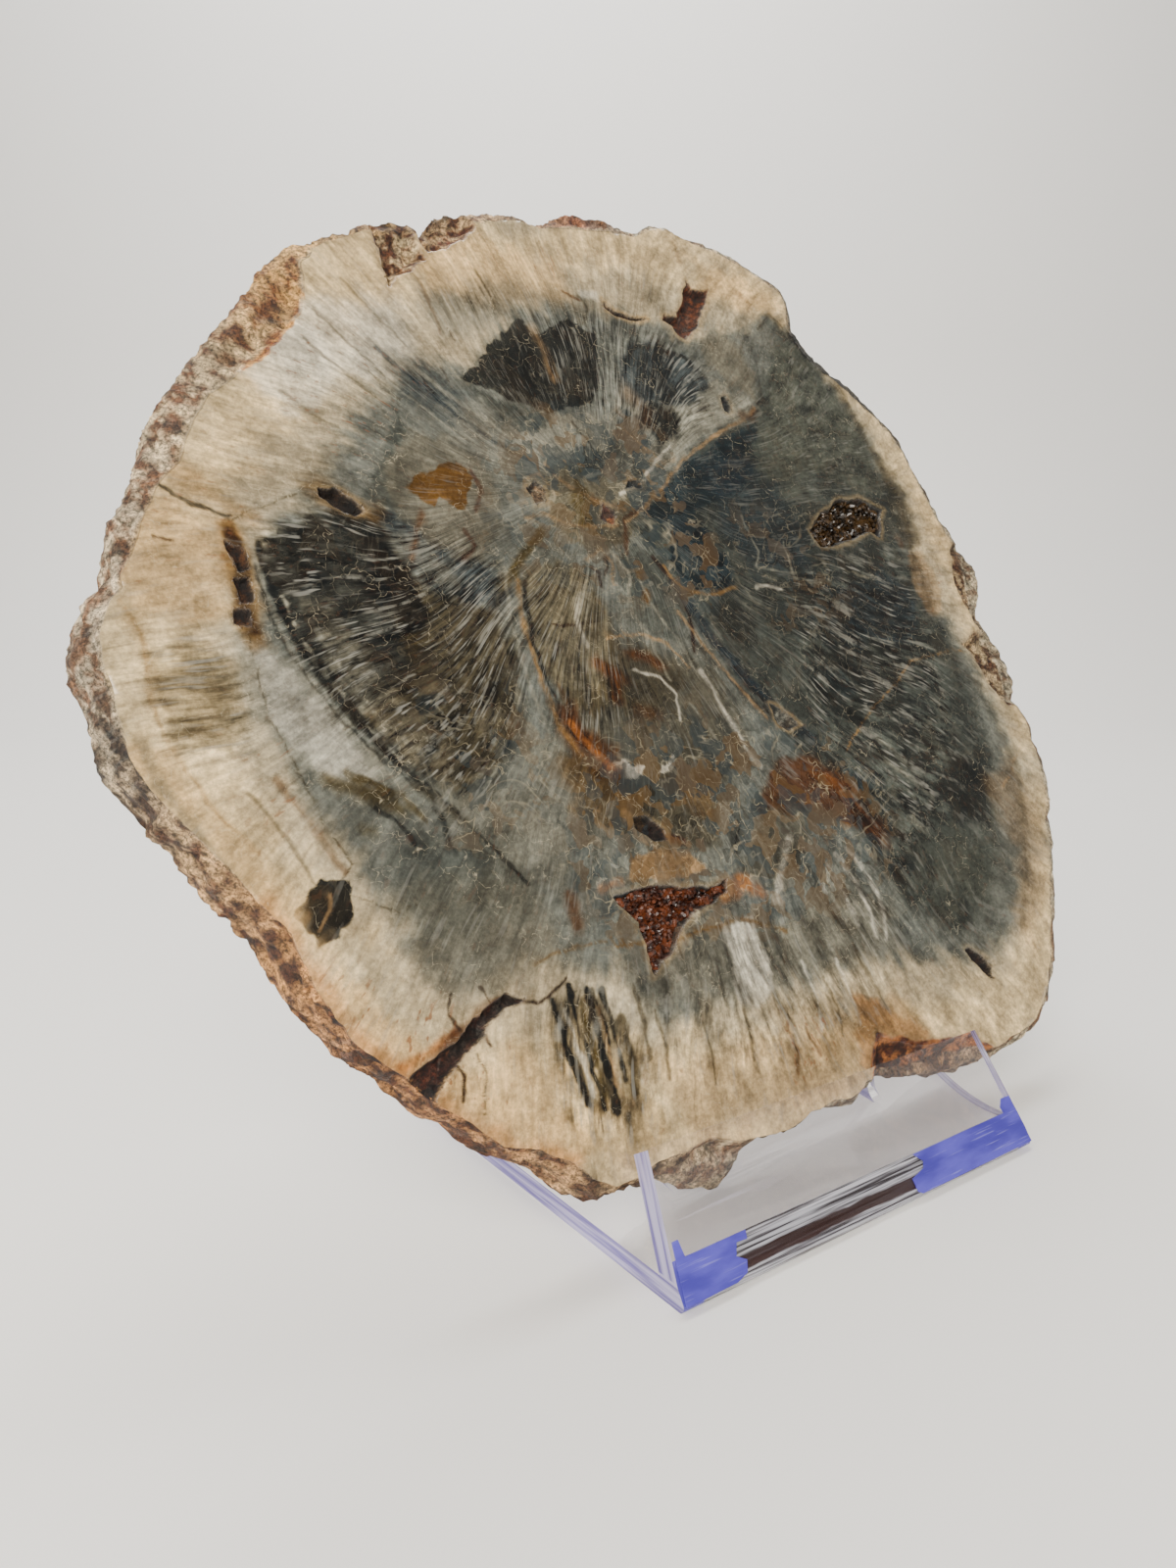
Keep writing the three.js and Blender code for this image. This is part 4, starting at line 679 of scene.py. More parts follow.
    ("black", 0.7, 0.7, 0.5, [(0, 148), (6, 137), (14, 126), (23, 115)]),
    ("tan", 0.7, 0.8, 0.6, [(-3, 147), (3, 136), (11, 125), (18, 116)]),
    ("paleGrey", 0.6, 0.7, 0.6, [(-14, 156), (-10, 146), (-4, 136), (-2, 128)]),
    ("paleGrey", 0.6, 0.6, 0.5, [(-19, 150), (-15, 140), (-12, 128)]),
    ("paleGrey", 0.7, 0.9, 0.6, [(-27, 161), (-20, 164), (-16, 158), (-18, 150)]),
    ("black", 0.7, 0.6, 0.5, [(48, 162), (60, 158), (72, 153), (84, 149)]),
    ("black", 0.6, 0.6, 0.5, [(52, 168), (64, 165), (78, 162)]),
    ("mistGrey", 0.6, 0.6, 0.5, [(50, 165), (62, 161.5), (76, 157)]),
    ("mistGrey", 0.5, 0.6, 0.5, [(55, 150), (66, 144), (78, 138)]),
    ("black", 0.6, 0.8, 0.6, [(56, 146), (68, 139), (80, 131)]),
    ("black", 0.6, 0.7, 0.6, [(54, 140), (64, 133), (76, 124)]),
    ("bone", 0.7, 1.0, 0.7, [(28, 154), (34, 154.4), (38, 153.6)]),
    ("bone", 0.4, 1.2, 1.2, [(-33, 152), (-36, 146), (-35, 138)]),
    ("paleGrey", 0.6, 1.0, 0.8, [(-69, 214), (-62, 208), (-52, 200), (-42, 194), (-34, 190)]),
    ("inkBlue", 0.7, 1.2, 0.8, [(-74, 214), (-66, 207), (-56, 198), (-44, 190), (-32, 185)]),
    ("paleGrey", 0.5, 0.8, 0.6, [(-78, 210), (-70, 203), (-58, 194), (-46, 187)]),
    ("tan", 0.6, 0.7, 0.5, [(-5, 200), (2, 194), (6, 190), (12, 193)]),
    ("black", 0.7, 0.8, 0.6, [(-22, 200), (-18, 195), (-17, 190)]),
    ("bone", 0.6, 0.8, 0.6, [(-12, 180), (-4, 184), (3, 190), (10, 196)]),
    ("tan", 0.7, 0.6, 0.5, [(-29, 140), (-18, 141), (-10, 138), (-4, 131)]),
    ("bone", 0.6, 0.7, 0.6, [(-22, 131), (-15, 129), (-11, 124), (-12, 117)]),
    ("black", 0.6, 0.6, 0.5, [(-4, 96), (-2, 89), (-6, 82)]),
    ("charcoal", 0.7, 1.2, 0.9, [(-19, 108), (-14, 103), (-6, 101), (0, 104)]),
    ("black", 0.95, 1.7, 0.7, [(-67.5, 58), (-66.8, 47), (-65, 35)]),
    ("black", 0.95, 1.2, 0.6, [(-63, 60), (-62.5, 48), (-61, 33)]),
    ("black", 0.95, 2.2, 0.8, [(-58.5, 58), (-58, 46), (-58.6, 32)]),
    ("olive", 0.85, 1.4, 0.8, [(-60.5, 56), (-60, 45), (-60, 35)]),
    ("black", 0.9, 1.3, 0.7, [(-55, 57), (-54, 46), (-54.5, 37)]),
    ("umber", 0.8, 2.0, 1.2, [(-51.5, 50), (-51, 42), (-52, 34)]),
    ("bone", 0.6, 0.9, 0.6, [(-64.8, 55), (-64.2, 45), (-63, 36)]),
    ("tan", 0.6, 0.9, 0.6, [(-56.6, 54), (-56.4, 44), (-56.6, 35)]),
    ("umber", 0.7, 1.2, 0.8, [(-46, 56), (-45.5, 47), (-46.5, 40)]),
    ("umber", 0.6, 1.0, 0.8, [(-42, 50), (-41.5, 42), (-42.5, 34)]),
    ("redBrown", 0.75, 3.4, 2, [(-104, 45), (-97, 51.5), (-89, 56), (-82, 59.5)]),
    ("deepBrown", 0.9, 0.9, 0.5, [(-97, 50), (-99.5, 45), (-100, 40)]),
    ("deepBrown", 0.9, 0.8, 0.5, [(-93.5, 53), (-92, 47), (-93, 43)]),
    ("deepBrown", 0.8, 0.7, 0.5, [(-86, 57), (-84.5, 52)]),
    ("deepBrown", 0.8, 0.7, 0.5, [(-90, 55), (-92, 60), (-91, 64)]),
    ("deepBrown", 0.8, 0.6, 0.5, [(-82, 59.5), (-84, 64)]),
    ("charcoal", 0.8, 1.0, 0.6, [(-131, 176), (-124, 171), (-117, 169)]),
    ("umber", 0.3, 1.6, 2.2, [(-132, 128), (-127, 130), (-122, 132)]),
    ("umber", 0.3, 1.4, 2.0, [(-134, 123), (-129, 125), (-124, 127)]),
    ("umber", 0.25, 1.4, 2.0, [(-135, 134), (-130, 136), (-125, 137)]),
    ("ochre", 0.35, 2.4, 3.2, [(-140, 146), (-138, 138), (-137, 128)]),
    ("umber", 0.5, 1.6, 1.4, [(-96, 104), (-90, 108), (-84, 104), (-78, 98)]),
    ("olive", 0.8, 1.4, 0.8, [(-103, 112), (-98, 109), (-92, 106), (-88, 100)]),
    ("black", 0.7, 1.0, 0.6, [(-99, 104), (-95, 101), (-91, 96)]),
    ("rust", 0.5, 1.6, 1.4, [(-118, 112), (-113, 104), (-108, 92)]),
    ("umber", 0.5, 0.8, 0.8, [(-124, 110), (-118, 100), (-114, 90)]),
    ("umber", 0.5, 0.8, 0.8, [(-100, 200), (-94, 195), (-88, 192)]),
    ("umber", 0.55, 0.9, 0.8, [(-92, 214), (-84, 207), (-77, 201)]),
    ("umber", 0.5, 0.7, 0.7, [(-88, 222), (-80, 214), (-73, 207)]),
    ("umber", 0.5, 0.7, 0.7, [(-79, 232), (-72, 224), (-66, 216)]),
    ("rust", 0.45, 1.0, 1, [(-58, 236), (-56, 228), (-55, 221)]),
    ("umber", 0.5, 0.7, 0.7, [(-40, 242), (-38, 236), (-37, 231)]),
    ("umber", 0.6, 0.7, 0.6, [(-30, 30), (-29, 38), (-29.5, 46)]),
    ("umber", 0.6, 0.9, 0.7, [(-17, 32), (-16, 41), (-16, 50)]),
    ("rust", 0.6, 1.2, 0.9, [(-4, 38), (-3, 31), (-5, 26)]),
    ("rust", 0.6, 1.0, 0.8, [(2, 36), (4, 29)]),
    ("umber", 0.6, 0.8, 0.7, [(12, 47), (14, 38), (13, 31)]),
    ("bone", 0.5, 0.8, 0.7, [(6, 52), (8, 42), (7, 34)]),
    ("bone", 0.5, 0.8, 0.7, [(18, 50), (20, 41), (21, 33)]),
    ("umber", 0.6, 0.9, 0.8, [(26, 52), (29, 42), (32, 34)]),
    ("ochre", 0.7, 1.0, 0.7, [(-48, 66), (-30, 64), (-10, 66), (4, 60)]),
    ("ochre", 0.6, 0.7, 0.6, [(-70, 66), (-58, 68), (-46, 67)]),
]

# How much streak, speckle and vein the shader adds: channel, value, soft edge in mm, outline
grainZones = [
    ("streak", 1.0, 5, [(-113, 168), (-96, 173), (-80, 170), (-62, 166), (-52, 156), (-52, 140), (-58, 118),
        (-72, 102), (-88, 108), (-104, 124), (-112, 146)]),
    ("streak", 0.9, 5, [(-28, 232), (-6, 236), (16, 234), (34, 224), (30, 206), (14, 198), (-10, 202), (-26,
        204)]),
    ("streak", 0.85, 5, [(-50, 160), (-26, 160), (-24, 124), (-40, 112), (-52, 120)]),
    ("streak", 1.0, 8, [(44, 160), (90, 168), (98, 140), (98, 108), (78, 80), (50, 60), (38, 90), (34,
        130)]),
    ("streak", 0.85, 5, [(-72, 60), (-48, 60), (-44, 30), (-58, 24), (-72, 30)]),
    ("streak", 0.6, 8, [(-30, 66), (50, 80), (52, 50), (20, 30), (-20, 26), (-46, 34), (-48, 60)]),
    ("streak", 0.7, 4, [(-140, 142), (-122, 144), (-118, 120), (-128, 114), (-140, 118)]),
    ("streak", 0.5, 8, [(-56, 240), (-10, 240), (-8, 228), (-30, 226), (-56, 222)]),
    ("streak", 0.45, 8, [(50, 206), (70, 244), (94, 214), (98, 184), (70, 186)]),
    ("speckle", 1.0, 6, [(-118, 76), (-92, 62), (-80, 50), (-78, 34), (-96, 42), (-114, 62)]),
    ("speckle", 0.8, 8, [(-100, 216), (-74, 222), (-62, 210), (-72, 190), (-92, 184), (-104, 196)]),
    ("speckle", 0.9, 4, [(-50, 36), (-38, 36), (-38, 24), (-50, 24)]),
    ("speckle", 0.7, 5, [(-126, 122), (-114, 120), (-112, 100), (-124, 98)]),
    ("speckle", 0.8, 5, [(-8, 40), (12, 40), (12, 24), (-8, 24)]),
    ("speckle", 0.5, 8, [(-140, 170), (-112, 196), (-104, 176), (-122, 150), (-142, 146)]),
    ("speckle", 0.7, 5, [(98, 168), (112, 166), (112, 144), (98, 144)]),
    ("speckle", 0.6, 6, [(-48, 250), (10, 258), (20, 246), (-44, 238)]),
    ("vein", 1.0, 5, [(-46, 190), (-30, 204), (-4, 206), (14, 194), (10, 180), (22, 160), (8, 146), (-6,
        150), (-18, 160), (-34, 168)]),
    ("vein", 1.0, 8, [(-44, 112), (-10, 120), (36, 112), (56, 92), (50, 70), (20, 62), (-20, 60), (-50, 66),
        (-56, 92)]),
    ("vein", 0.7, 8, [(-84, 128), (-60, 130), (-50, 110), (-60, 92), (-84, 88)]),
    ("vein", 0.6, 8, [(-50, 196), (-20, 194), (10, 176), (0, 150), (-30, 148), (-60, 160)]),
    ("vein", 0.5, 10, [(24, 178), (60, 176), (66, 150), (40, 136), (20, 150)]),
]

# Inside of each hollow: two colours that noise mixes, and the pale line round its mouth
hollowFinish = {
    "right": ((74, 58, 40), (34, 27, 20), 0.4),
    "lower": ((98, 56, 34), (50, 28, 18), 0.4),
    "topRust": ((134, 86, 48), (66, 40, 26), 0.6),
    "crescent": ((92, 58, 38), (52, 32, 22), 0.8),
    "black": ((30, 24, 22), (70, 34, 20), 0.3),
    "oval": ((66, 48, 28), (32, 24, 18), 0.25),
    "slit": ((84, 50, 34), (40, 24, 18), 0.3),
    "speckled": ((168, 146, 118), (60, 46, 36), 0.4),
    "ring": ((160, 120, 84), (120, 64, 34), 0.4),
    "topDot": ((52, 56, 58), (84, 88, 88), 0.3),
    "triangle": ((60, 64, 62), (140, 138, 128), 0.5),
    "beadA": ((52, 34, 20), (120, 84, 40), 0.2),
    "beadB": ((52, 34, 20), (120, 84, 40), 0.2),
    "beadC": ((52, 34, 20), (120, 84, 40), 0.2),
    "smallCut": ((44, 48, 48), (110, 100, 84), 0.4),
    "chipLeft": ((216, 198, 164), (118, 80, 52), 0.3),
    "chipLeftB": ((214, 190, 154), (112, 70, 46), 0.3),
    "topStrip": ((184, 122, 82), (112, 60, 38), 0.1),
    "chipRight": ((206, 186, 152), (110, 76, 50), 0.3),
    "chipRightB": ((210, 192, 160), (104, 74, 50), 0.3),
    "facetRight": ((186, 136, 86), (96, 56, 34), 0.3),
    "chunk": ((208, 190, 160), (140, 96, 62), 0.1),
    "orangeRim": ((222, 180, 112), (150, 92, 34), 0.0),
    "splitMouth": ((100, 58, 36), (48, 26, 18), 0.2),
}

# Bark rim by angle about the middle, in degrees from across: two colours that noise mixes
rimFinish = [
    (-180, (214, 196, 164), (120, 84, 54)),
    (-172, (196, 176, 144), (50, 40, 32)),
    (-163, (206, 168, 118), (84, 52, 32)),
    (-152, (196, 142, 84), (74, 42, 26)),
    (-140, (200, 140, 84), (80, 46, 28)),
    (-128, (204, 148, 92), (92, 54, 32)),
    (-118, (202, 158, 106), (96, 60, 36)),
    (-108, (210, 182, 136), (112, 72, 44)),
    (-98, (208, 192, 158), (132, 98, 66)),
    (-80, (204, 188, 152), (126, 94, 64)),
    (-66, (180, 134, 90), (84, 54, 36)),
    (-55, (208, 192, 158), (126, 88, 58)),
    (-30, (206, 192, 160), (130, 100, 72)),
    (0, (208, 192, 158), (120, 88, 62)),
    (20, (198, 184, 150), (104, 82, 60)),
    (38, (90, 84, 70), (36, 34, 30)),
    (50, (70, 66, 56), (34, 32, 28)),
    (60, (208, 194, 160), (130, 100, 72)),
    (78, (214, 202, 170), (140, 108, 74)),
    (86, (176, 112, 74), (96, 52, 34)),
    (96, (204, 170, 126), (104, 66, 42)),
    (108, (208, 172, 124), (100, 64, 40)),
    (122, (220, 178, 116), (104, 62, 32)),
    (135, (224, 172, 98), (122, 72, 32)),
    (148, (228, 200, 152), (108, 66, 36)),
    (165, (226, 204, 166), (112, 74, 44)),
    (180, (214, 196, 164), (120, 84, 54)),
]
toneCurve = {"power": 1.5, "gain": 1.32}  # deepens the painted colours for the polished stone
paintLook = {
    "warm": (0.55, 34, 7),  # share, size in mm and seed
    "pale": (0.5, 26, 8),
    "paleRange": (0.2, 0.7),
    "cloud": (0.22, 9, 21, 4),  # the same, and layers
    "blot": (0.2, 5, 27, 4),
    "blotRange": (0.1, 0.5),
    "zoneSeeds": (100, 140),  # of the outline and of its streaks
    "zoneMargin": 3,
    "zoneWander": (1.5, 0.2, 3.0),  # least, gain with softness, most
    "zoneRays": (0.45, 1.6, 9),  # share of the soft edge, width and length of its streaks
    "hardZones": (6, 0.6, 0.85),  # softness below which an edge keeps this share, and the others' share
    "strokeMargin": 4,
    "strokeWander": (200, 0.9),
    "swell": (0.7, 4.5, 900),
    "swellRange": (0.3, 1.6),
    "fade": (0.6, 7, 950),
    "fadeRange": (0.4, 1),
    "rays": (60, 500),  # how many across, and the shift of the second set
    "raySeam": (2.4, 2.9),  # angle over which the two sets meet
    "pit": (0.7, 2.0, 67),
    "pitRange": (0.2, 0.45),
    "bark": (2.6, 61, 4),
    "barkPatch": (0.25, 12, 63, 2),
    "barkRange": (-0.26, 0.26),
    "barkEdge": (0.0, 0.8),
    "back": ((150, 144, 130), 0.2),
    "grain": {"streak": 0.3, "speckle": 0.12, "vein": 0.12},
}


def blend(tone, colour, share):
    return tone + (toLinear(colour) - tone) * share[:, None]


def blendNear(tone, near, colour, share):
    tone[near] = blend(tone[near], colour, share)


def rayNoise(u, v, width, length, seed):  # streaks that run towards the pith
    dx, dy = u - slabPlane["pith"][0], v - slabPlane["pith"][1]
    r, a = np.hypot(dx, dy), np.arctan2(dy, dx)
    other = np.mod(a, 2 * math.pi)
    count, shift = paintLook["rays"]
    one = layeredNoise(a * count, r * width / length, width, seed)
    two = layeredNoise(other * count + shift, r * width / length, width, seed)
    return one + (two - one) * smoothStep(*paintLook["raySeam"], np.abs(a))


def paintZones(u, v, tone):
    rays, width, length = paintLook["zoneRays"]
    limit, hard, loose = paintLook["hardZones"]
    least, gain, most = paintLook["zoneWander"]
    seed, raySeed = paintLook["zoneSeeds"]
    for i, (name, strength, soft, points) in enumerate(zones):
        near = nearOutline(u, v, points, soft + paintLook["zoneMargin"])
        nu, nv = u[near], v[near]
        wu, wv = wander(nu, nv, seed + i, min(most, least + soft * gain))
        ray = rayNoise(nu, nv, width, length, raySeed + i) * soft * rays
        soft = soft * (hard if soft < limit else loose)
        share = smoothStep(-soft / 2, soft / 2, outlineDepth(wu, wv, points) + ray)
        blendNear(tone, near, stone[name], strength * share)


def paintStrokes(u, v, tone):
    (swells, swellSize, swellSeed), (fades, fadeSize, fadeSeed) = paintLook["swell"], paintLook["fade"]
    seed, strays = paintLook["strokeWander"]
    for i, (name, strength, width, soft, points) in enumerate(strokes):
        near = nearOutline(u, v, points, width + soft + paintLook["strokeMargin"])
        nu, nv = u[near], v[near]
        reach = strokeDistance(*wander(nu, nv, seed + i, strays), points)
        swell = 1.0 + swells * layeredNoise(nu, nv, swellSize, swellSeed + i)
        fade = 1.0 + fades * layeredNoise(nu, nv, fadeSize, fadeSeed + i)
        edge = width / 2 * np.clip(swell, *paintLook["swellRange"])
        share = 1 - smoothStep(edge - soft / 2, edge + soft / 2, reach)
        blendNear(tone, near, stone[name], strength * (share * np.clip(fade, *paintLook["fadeRange"])))


def paintFace(u, v):
    warm, pale, cloud, blot = (paintLook[name] for name in ("warm", "pale", "cloud", "blot"))
    tone = np.tile(toLinear(stone["cream"]), (len(u), 1))
    tone = blend(tone, stone["warmCream"], warm[0] * (0.5 + 0.5 * layeredNoise(u, v, *warm[1:])))
    greys = smoothStep(*paintLook["paleRange"], layeredNoise(u, v, *pale[1:]))
    tone = blend(tone, stone["paleGrey"], pale[0] * greys)
    paintZones(u, v, tone)
    lift = cloud[0] * layeredNoise(u, v, *cloud[1:])
    drop = blot[0] * smoothStep(*paintLook["blotRange"], layeredNoise(u, v, *blot[1:]))
    tone = tone * (1 + lift - drop)[:, None]
    paintStrokes(u, v, tone)
    return tone


def paintGrain(u, v):
    channels = {name: np.full(u.shape, value) for name, value in paintLook["grain"].items()}
    for channel, value, soft, points in grainZones:
        share = smoothStep(-soft, soft, outlineDepth(u, v, points))
        channels[channel] = np.maximum(channels[channel], value * share)
    return np.stack(list(channels.values()), -1)


def paintHollows(u, v, d, tone):
    wu, wv = wander(u, v, *hollowLook["wander"])
    size, seed = hollowLook["specks"]
    for i, (name, hollow) in enumerate(hollows.items()):
        light, dark, lip = hollowFinish[name]
        near = nearOutline(wu, wv, hollow[0], hollowLook["margin"])
        depth = outlineDepth(wu[near], wv[near], hollow[0])
        outer, inner = (smoothStep(*hollowLook[side], depth) for side in ("lipOutside", "lipInside"))
        ring = outer * (1 - inner)
        blendNear(tone, near, hollowLook["lip"], lip * ring * (d[near] < hollowLook["lipDepth"]))
        mix = smoothStep(*hollowLook["speckRange"], layeredNoise(u[near], v[near], size, seed + i, 4))
        inside = smoothStep(*hollowLook["inside"], depth)
        both = toLinear(dark) + (toLinear(light) - toLinear(dark)) * mix[:, None]
        tone[near] = tone[near] + (both - tone[near]) * inside[:, None]
    return tone


def paintRim(u, v, d, side, tone):
    du, dv = u - slabPlane["middle"][0], v - slabPlane["middle"][1]
    angle = np.degrees(np.arctan2(dv, du))
    stops = np.array([stop[0] for stop in rimFinish], float)
    light, dark = (
        np.stack([np.interp(angle, stops, [toLinear(s[which])[c] for s in rimFinish]) for c in range(3)], -1)
        for which in (1, 2))
    arc, run = np.radians(angle) * slabPlane["arcRadius"], d + np.hypot(du, dv)
    patches, pits = paintLook["barkPatch"], paintLook["pit"]
    noise = layeredNoise(arc, run, *paintLook["bark"]) + patches[0] * layeredNoise(arc, run, *patches[1:])
    bark = dark + (light - dark) * smoothStep(*paintLook["barkRange"], noise)[:, None]
    pitted = smoothStep(*paintLook["pitRange"], layeredNoise(arc, run, *pits[1:]))
    bark = bark * (1 - pits[0] * pitted)[:, None]
    edge = smoothStep(*paintLook["barkEdge"], d) * (side > 0.5) * (side < 1.5)
    return tone + (bark - tone) * edge[:, None]


def addObject(name, data):
    item = bpy.data.objects.new(name, data)
    bpy.context.scene.collection.objects.link(item)
    return item


def smoothShade(mesh, sharpAngle):
    mesh.polygons.foreach_set("use_smooth", [True] * len(mesh.polygons))
    mesh.set_sharp_from_angle(angle=sharpAngle)


def setAttribute(mesh, name, kind, values):
    layer = mesh.attributes.new(name, kind, "POINT")
    key = {"FLOAT_VECTOR": "vector", "FLOAT_COLOR": "color"}[kind]
    layer.data.foreach_set(key, np.ascontiguousarray(values, dtype=np.float32).ravel())


def splitEdges(faces, ends, middle):  # neighbours share each split, so no gap opens
    code = np.sort(np.stack([faces, np.roll(faces, -1, axis=1)], -1), axis=-1)
    code = code[..., 0] * (2 ** 32) + code[..., 1]
    wanted = ends[:, 0] * (2 ** 32) + ends[:, 1]
    order = np.argsort(wanted)
    spot = np.clip(np.searchsorted(wanted[order], code), 0, len(order) - 1)
    found = wanted[order][spot] == code
    m = np.where(found, middle[order][spot], -1)
    count = (m >= 0).sum(1)
    result = [faces[count == 0]]
    for turn in range(3):
        f, e = np.roll(faces, -turn, axis=1), np.roll(m, -turn, axis=1)
        one = (count == 1) & (e[:, 0] >= 0)
        (a, b, c), n = f[one].T, e[one, 0]
        result += [np.stack([a, n, c], 1), np.stack([n, b, c], 1)]
        two = (count == 2) & (e[:, 2] < 0)
        (a, b, c), (n, o) = f[two].T, e[two, :2].T
        result += [np.stack([n, b, o], 1), np.stack([a, n, o], 1), np.stack([a, o, c], 1)]
    (a, b, c), (n, o, p) = faces[count == 3].T, m[count == 3].T
    result += [np.stack(corners, 1) for corners in ((a, n, p), (n, b, o), (p, o, c), (n, o, p))]
    return np.concatenate(result)


def paintSlice(u, v, d, side):
    tone = paintFace(u, v)
    tone = np.where((side < 1.5)[:, None], paintHollows(u, v, d, tone.copy()), tone)
    tone = toneCurve["gain"] * np.clip(tone, 0, 1) ** toneCurve["power"]
    tone = paintRim(u, v, d, side, tone)
    dust, share = paintLook["back"]
    return np.where((side > 1.5)[:, None], tone * (1 - share) + toLinear(dust) * share, tone)


def refineFace(u, v, d, side, rough, tone, faces, amount):
    pairs = np.concatenate([faces, np.roll(faces, -1, axis=1)], 1).reshape(-1, 2, 3).transpose(0, 2, 1)
    ends = np.unique(np.sort(pairs.reshape(-1, 2), axis=1), axis=0)
    a, b = ends.T
    length = np.hypot(u[a] - u[b], v[a] - v[b])
    ends = ends[(side[a] < 0.5) & (side[b] < 0.5) & (length > slabMesh["shortestEdge"])]
    a, b = ends.T
    nu, nv = (u[a] + u[b]) / 2, (v[a] + v[b]) / 2
    nd, nr = hollowDepth(nu, nv)
    ns = np.zeros(len(nu))
    nt = paintSlice(nu, nv, nd, ns)
    ta, tb, tm = np.sqrt(tone[a]), np.sqrt(tone[b]), np.sqrt(nt)
    change = np.abs(ta - tb).sum(1) + 2 * np.abs(tm - (ta + tb) / 2).sum(1)
    change = change + slabMesh["depthWeight"] * np.abs(d[a] - d[b])
    best = np.argsort(-change)[:amount]
    faces = splitEdges(faces, ends[best], len(u) + np.arange(len(best)))
    pairs = ((u, nu), (v, nv), (d, nd), (side, ns), (rough, nr), (tone, nt))
    return (*(np.concatenate([old, new[best]]) for old, new in pairs), faces)


def buildSlice():
    u, v, d, side, rough, faces = sliceMesh()
    tone = paintSlice(u, v, d, side)
    for amount in slabMesh["extraEdges"]:
        u, v, d, side, rough, tone, faces = refineFace(u, v, d, side, rough, tone, faces, amount)
    mesh = bpy.data.meshes.new("petrifiedSlice")
    low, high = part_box("slab")
    mesh.from_pydata(np.clip(fromSlab(u, v, d), low, high).tolist(), [], faces.tolist())
    colour = np.concatenate([np.clip(tone, 0, 1), np.ones((len(u), 1))], axis=1)
    setAttribute(mesh, "tone", "FLOAT_COLOR", colour)
    setAttribute(mesh, "place", "FLOAT_VECTOR", np.stack([u, v, d], -1))
    setAttribute(mesh, "grain", "FLOAT_VECTOR", paintGrain(u, v))
    setAttribute(mesh, "finish", "FLOAT_VECTOR", np.stack([rough, side > 1.5, np.zeros(len(u))], -1))
    smoothShade(mesh, slabMesh["sharpAngle"])
    piece = addObject("petrifiedSlice", mesh)
    print("slice:", len(u), "points,", len(faces), "triangles")
    return piece


# Shader helpers

def fillInputs(tree, node, inputs):
    for key, value in inputs.items():
        if isinstance(value, bpy.types.NodeSocket):
            tree.links.new(value, node.inputs[key])
        else:
            node.inputs[key].default_value = value
    return node


def addNode(tree, kind, inputs=None, **settings):
    node = tree.nodes.new(kind)
    for key, value in settings.items():
        setattr(node, key, value)
    return fillInputs(tree, node, inputs or {})


def mathNode(tree, operation, a, b=0.0, clamp=False):
    return addNode(tree, "ShaderNodeMath", {0: a, 1: b}, operation=operation, use_clamp=clamp).outputs[0]


def product(tree, first, *others):
    for other in others:
        first = mathNode(tree, "MULTIPLY", first, other)
    return first


def vectorNode(tree, operation, a, b=None):
    inputs = {0: a} if b is None else {0: a, "Scale" if operation == "SCALE" else 1: b}
    node = addNode(tree, "ShaderNodeVectorMath", inputs, operation=operation)
    return node.outputs["Value" if operation in ("LENGTH", "DOT_PRODUCT") else "Vector"]


def noiseNode(tree, place, scale, detail=2.0, roughness=0.5, distortion=0.0):
    inputs = {"Vector": place, "Scale": scale, "Detail": detail, "Roughness": roughness}
    return addNode(tree, "ShaderNodeTexNoise", {**inputs, "Distortion": distortion}).outputs


def bendNode(tree, place, scale, detail):  # a noise vector about zero
    return vectorNode(tree, "SUBTRACT", noiseNode(tree, place, scale, detail)["Color"], (0.5, 0.5, 0.5))


def rangeNode(tree, value, low, high, toLow=0.0, toHigh=1.0):
    inputs = {"Value": value, "From Min": low, "From Max": high, "To Min": toLow, "To Max": toHigh}
    return addNode(tree, "ShaderNodeMapRange", inputs, interpolation_type="SMOOTHSTEP").outputs[0]


def mixColour(tree, share, a, b, blendType="MIX"):
    inputs = {0: share, 6: a, 7: b}
    return addNode(tree, "ShaderNodeMix", inputs, data_type="RGBA", blend_type=blendType).outputs[2]


def linearColour(colour):
    return (*toLinear(colour).tolist(), 1.0)


def objectPlace(tree):
    return addNode(tree, "ShaderNodeTexCoord").outputs["Object"]


def newGroup(name, inputs, outputs):  # an input with no value is a vector
    tree = bpy.data.node_groups.new(name, "ShaderNodeTree")
    for label, value in inputs.items():
        kind = "NodeSocketVector" if value is None else "NodeSocketFloat"
        item = tree.interface.new_socket(name=label, in_out="INPUT", socket_type=kind)
        if value is not None:
            item.default_value = value
    for label, kind in outputs.items():
        tree.interface.new_socket(name=label, in_out="OUTPUT", socket_type="NodeSocket" + kind)
    return tree, tree.nodes.new("NodeGroupInput").outputs, tree.nodes.new("NodeGroupOutput").inputs


def newMaterial(name):
    material = bpy.data.materials.new(name)
    material.use_nodes = True
    tree = material.node_tree
    tree.nodes.clear()
    shader = tree.nodes.new("ShaderNodeBsdfPrincipled")
    output = tree.nodes.new("ShaderNodeOutputMaterial")
    tree.links.new(shader.outputs[0], output.inputs[0])
    return material, tree, shader


groupLook = {
    "bearing": {"bend": (0.014, 1.0), "reach": 34.0},  # scale and detail, then mm
    "rayRoughness": 0.6,
    "flow": (4.0, 0.55, 1.2),  # detail, roughness and distortion
}


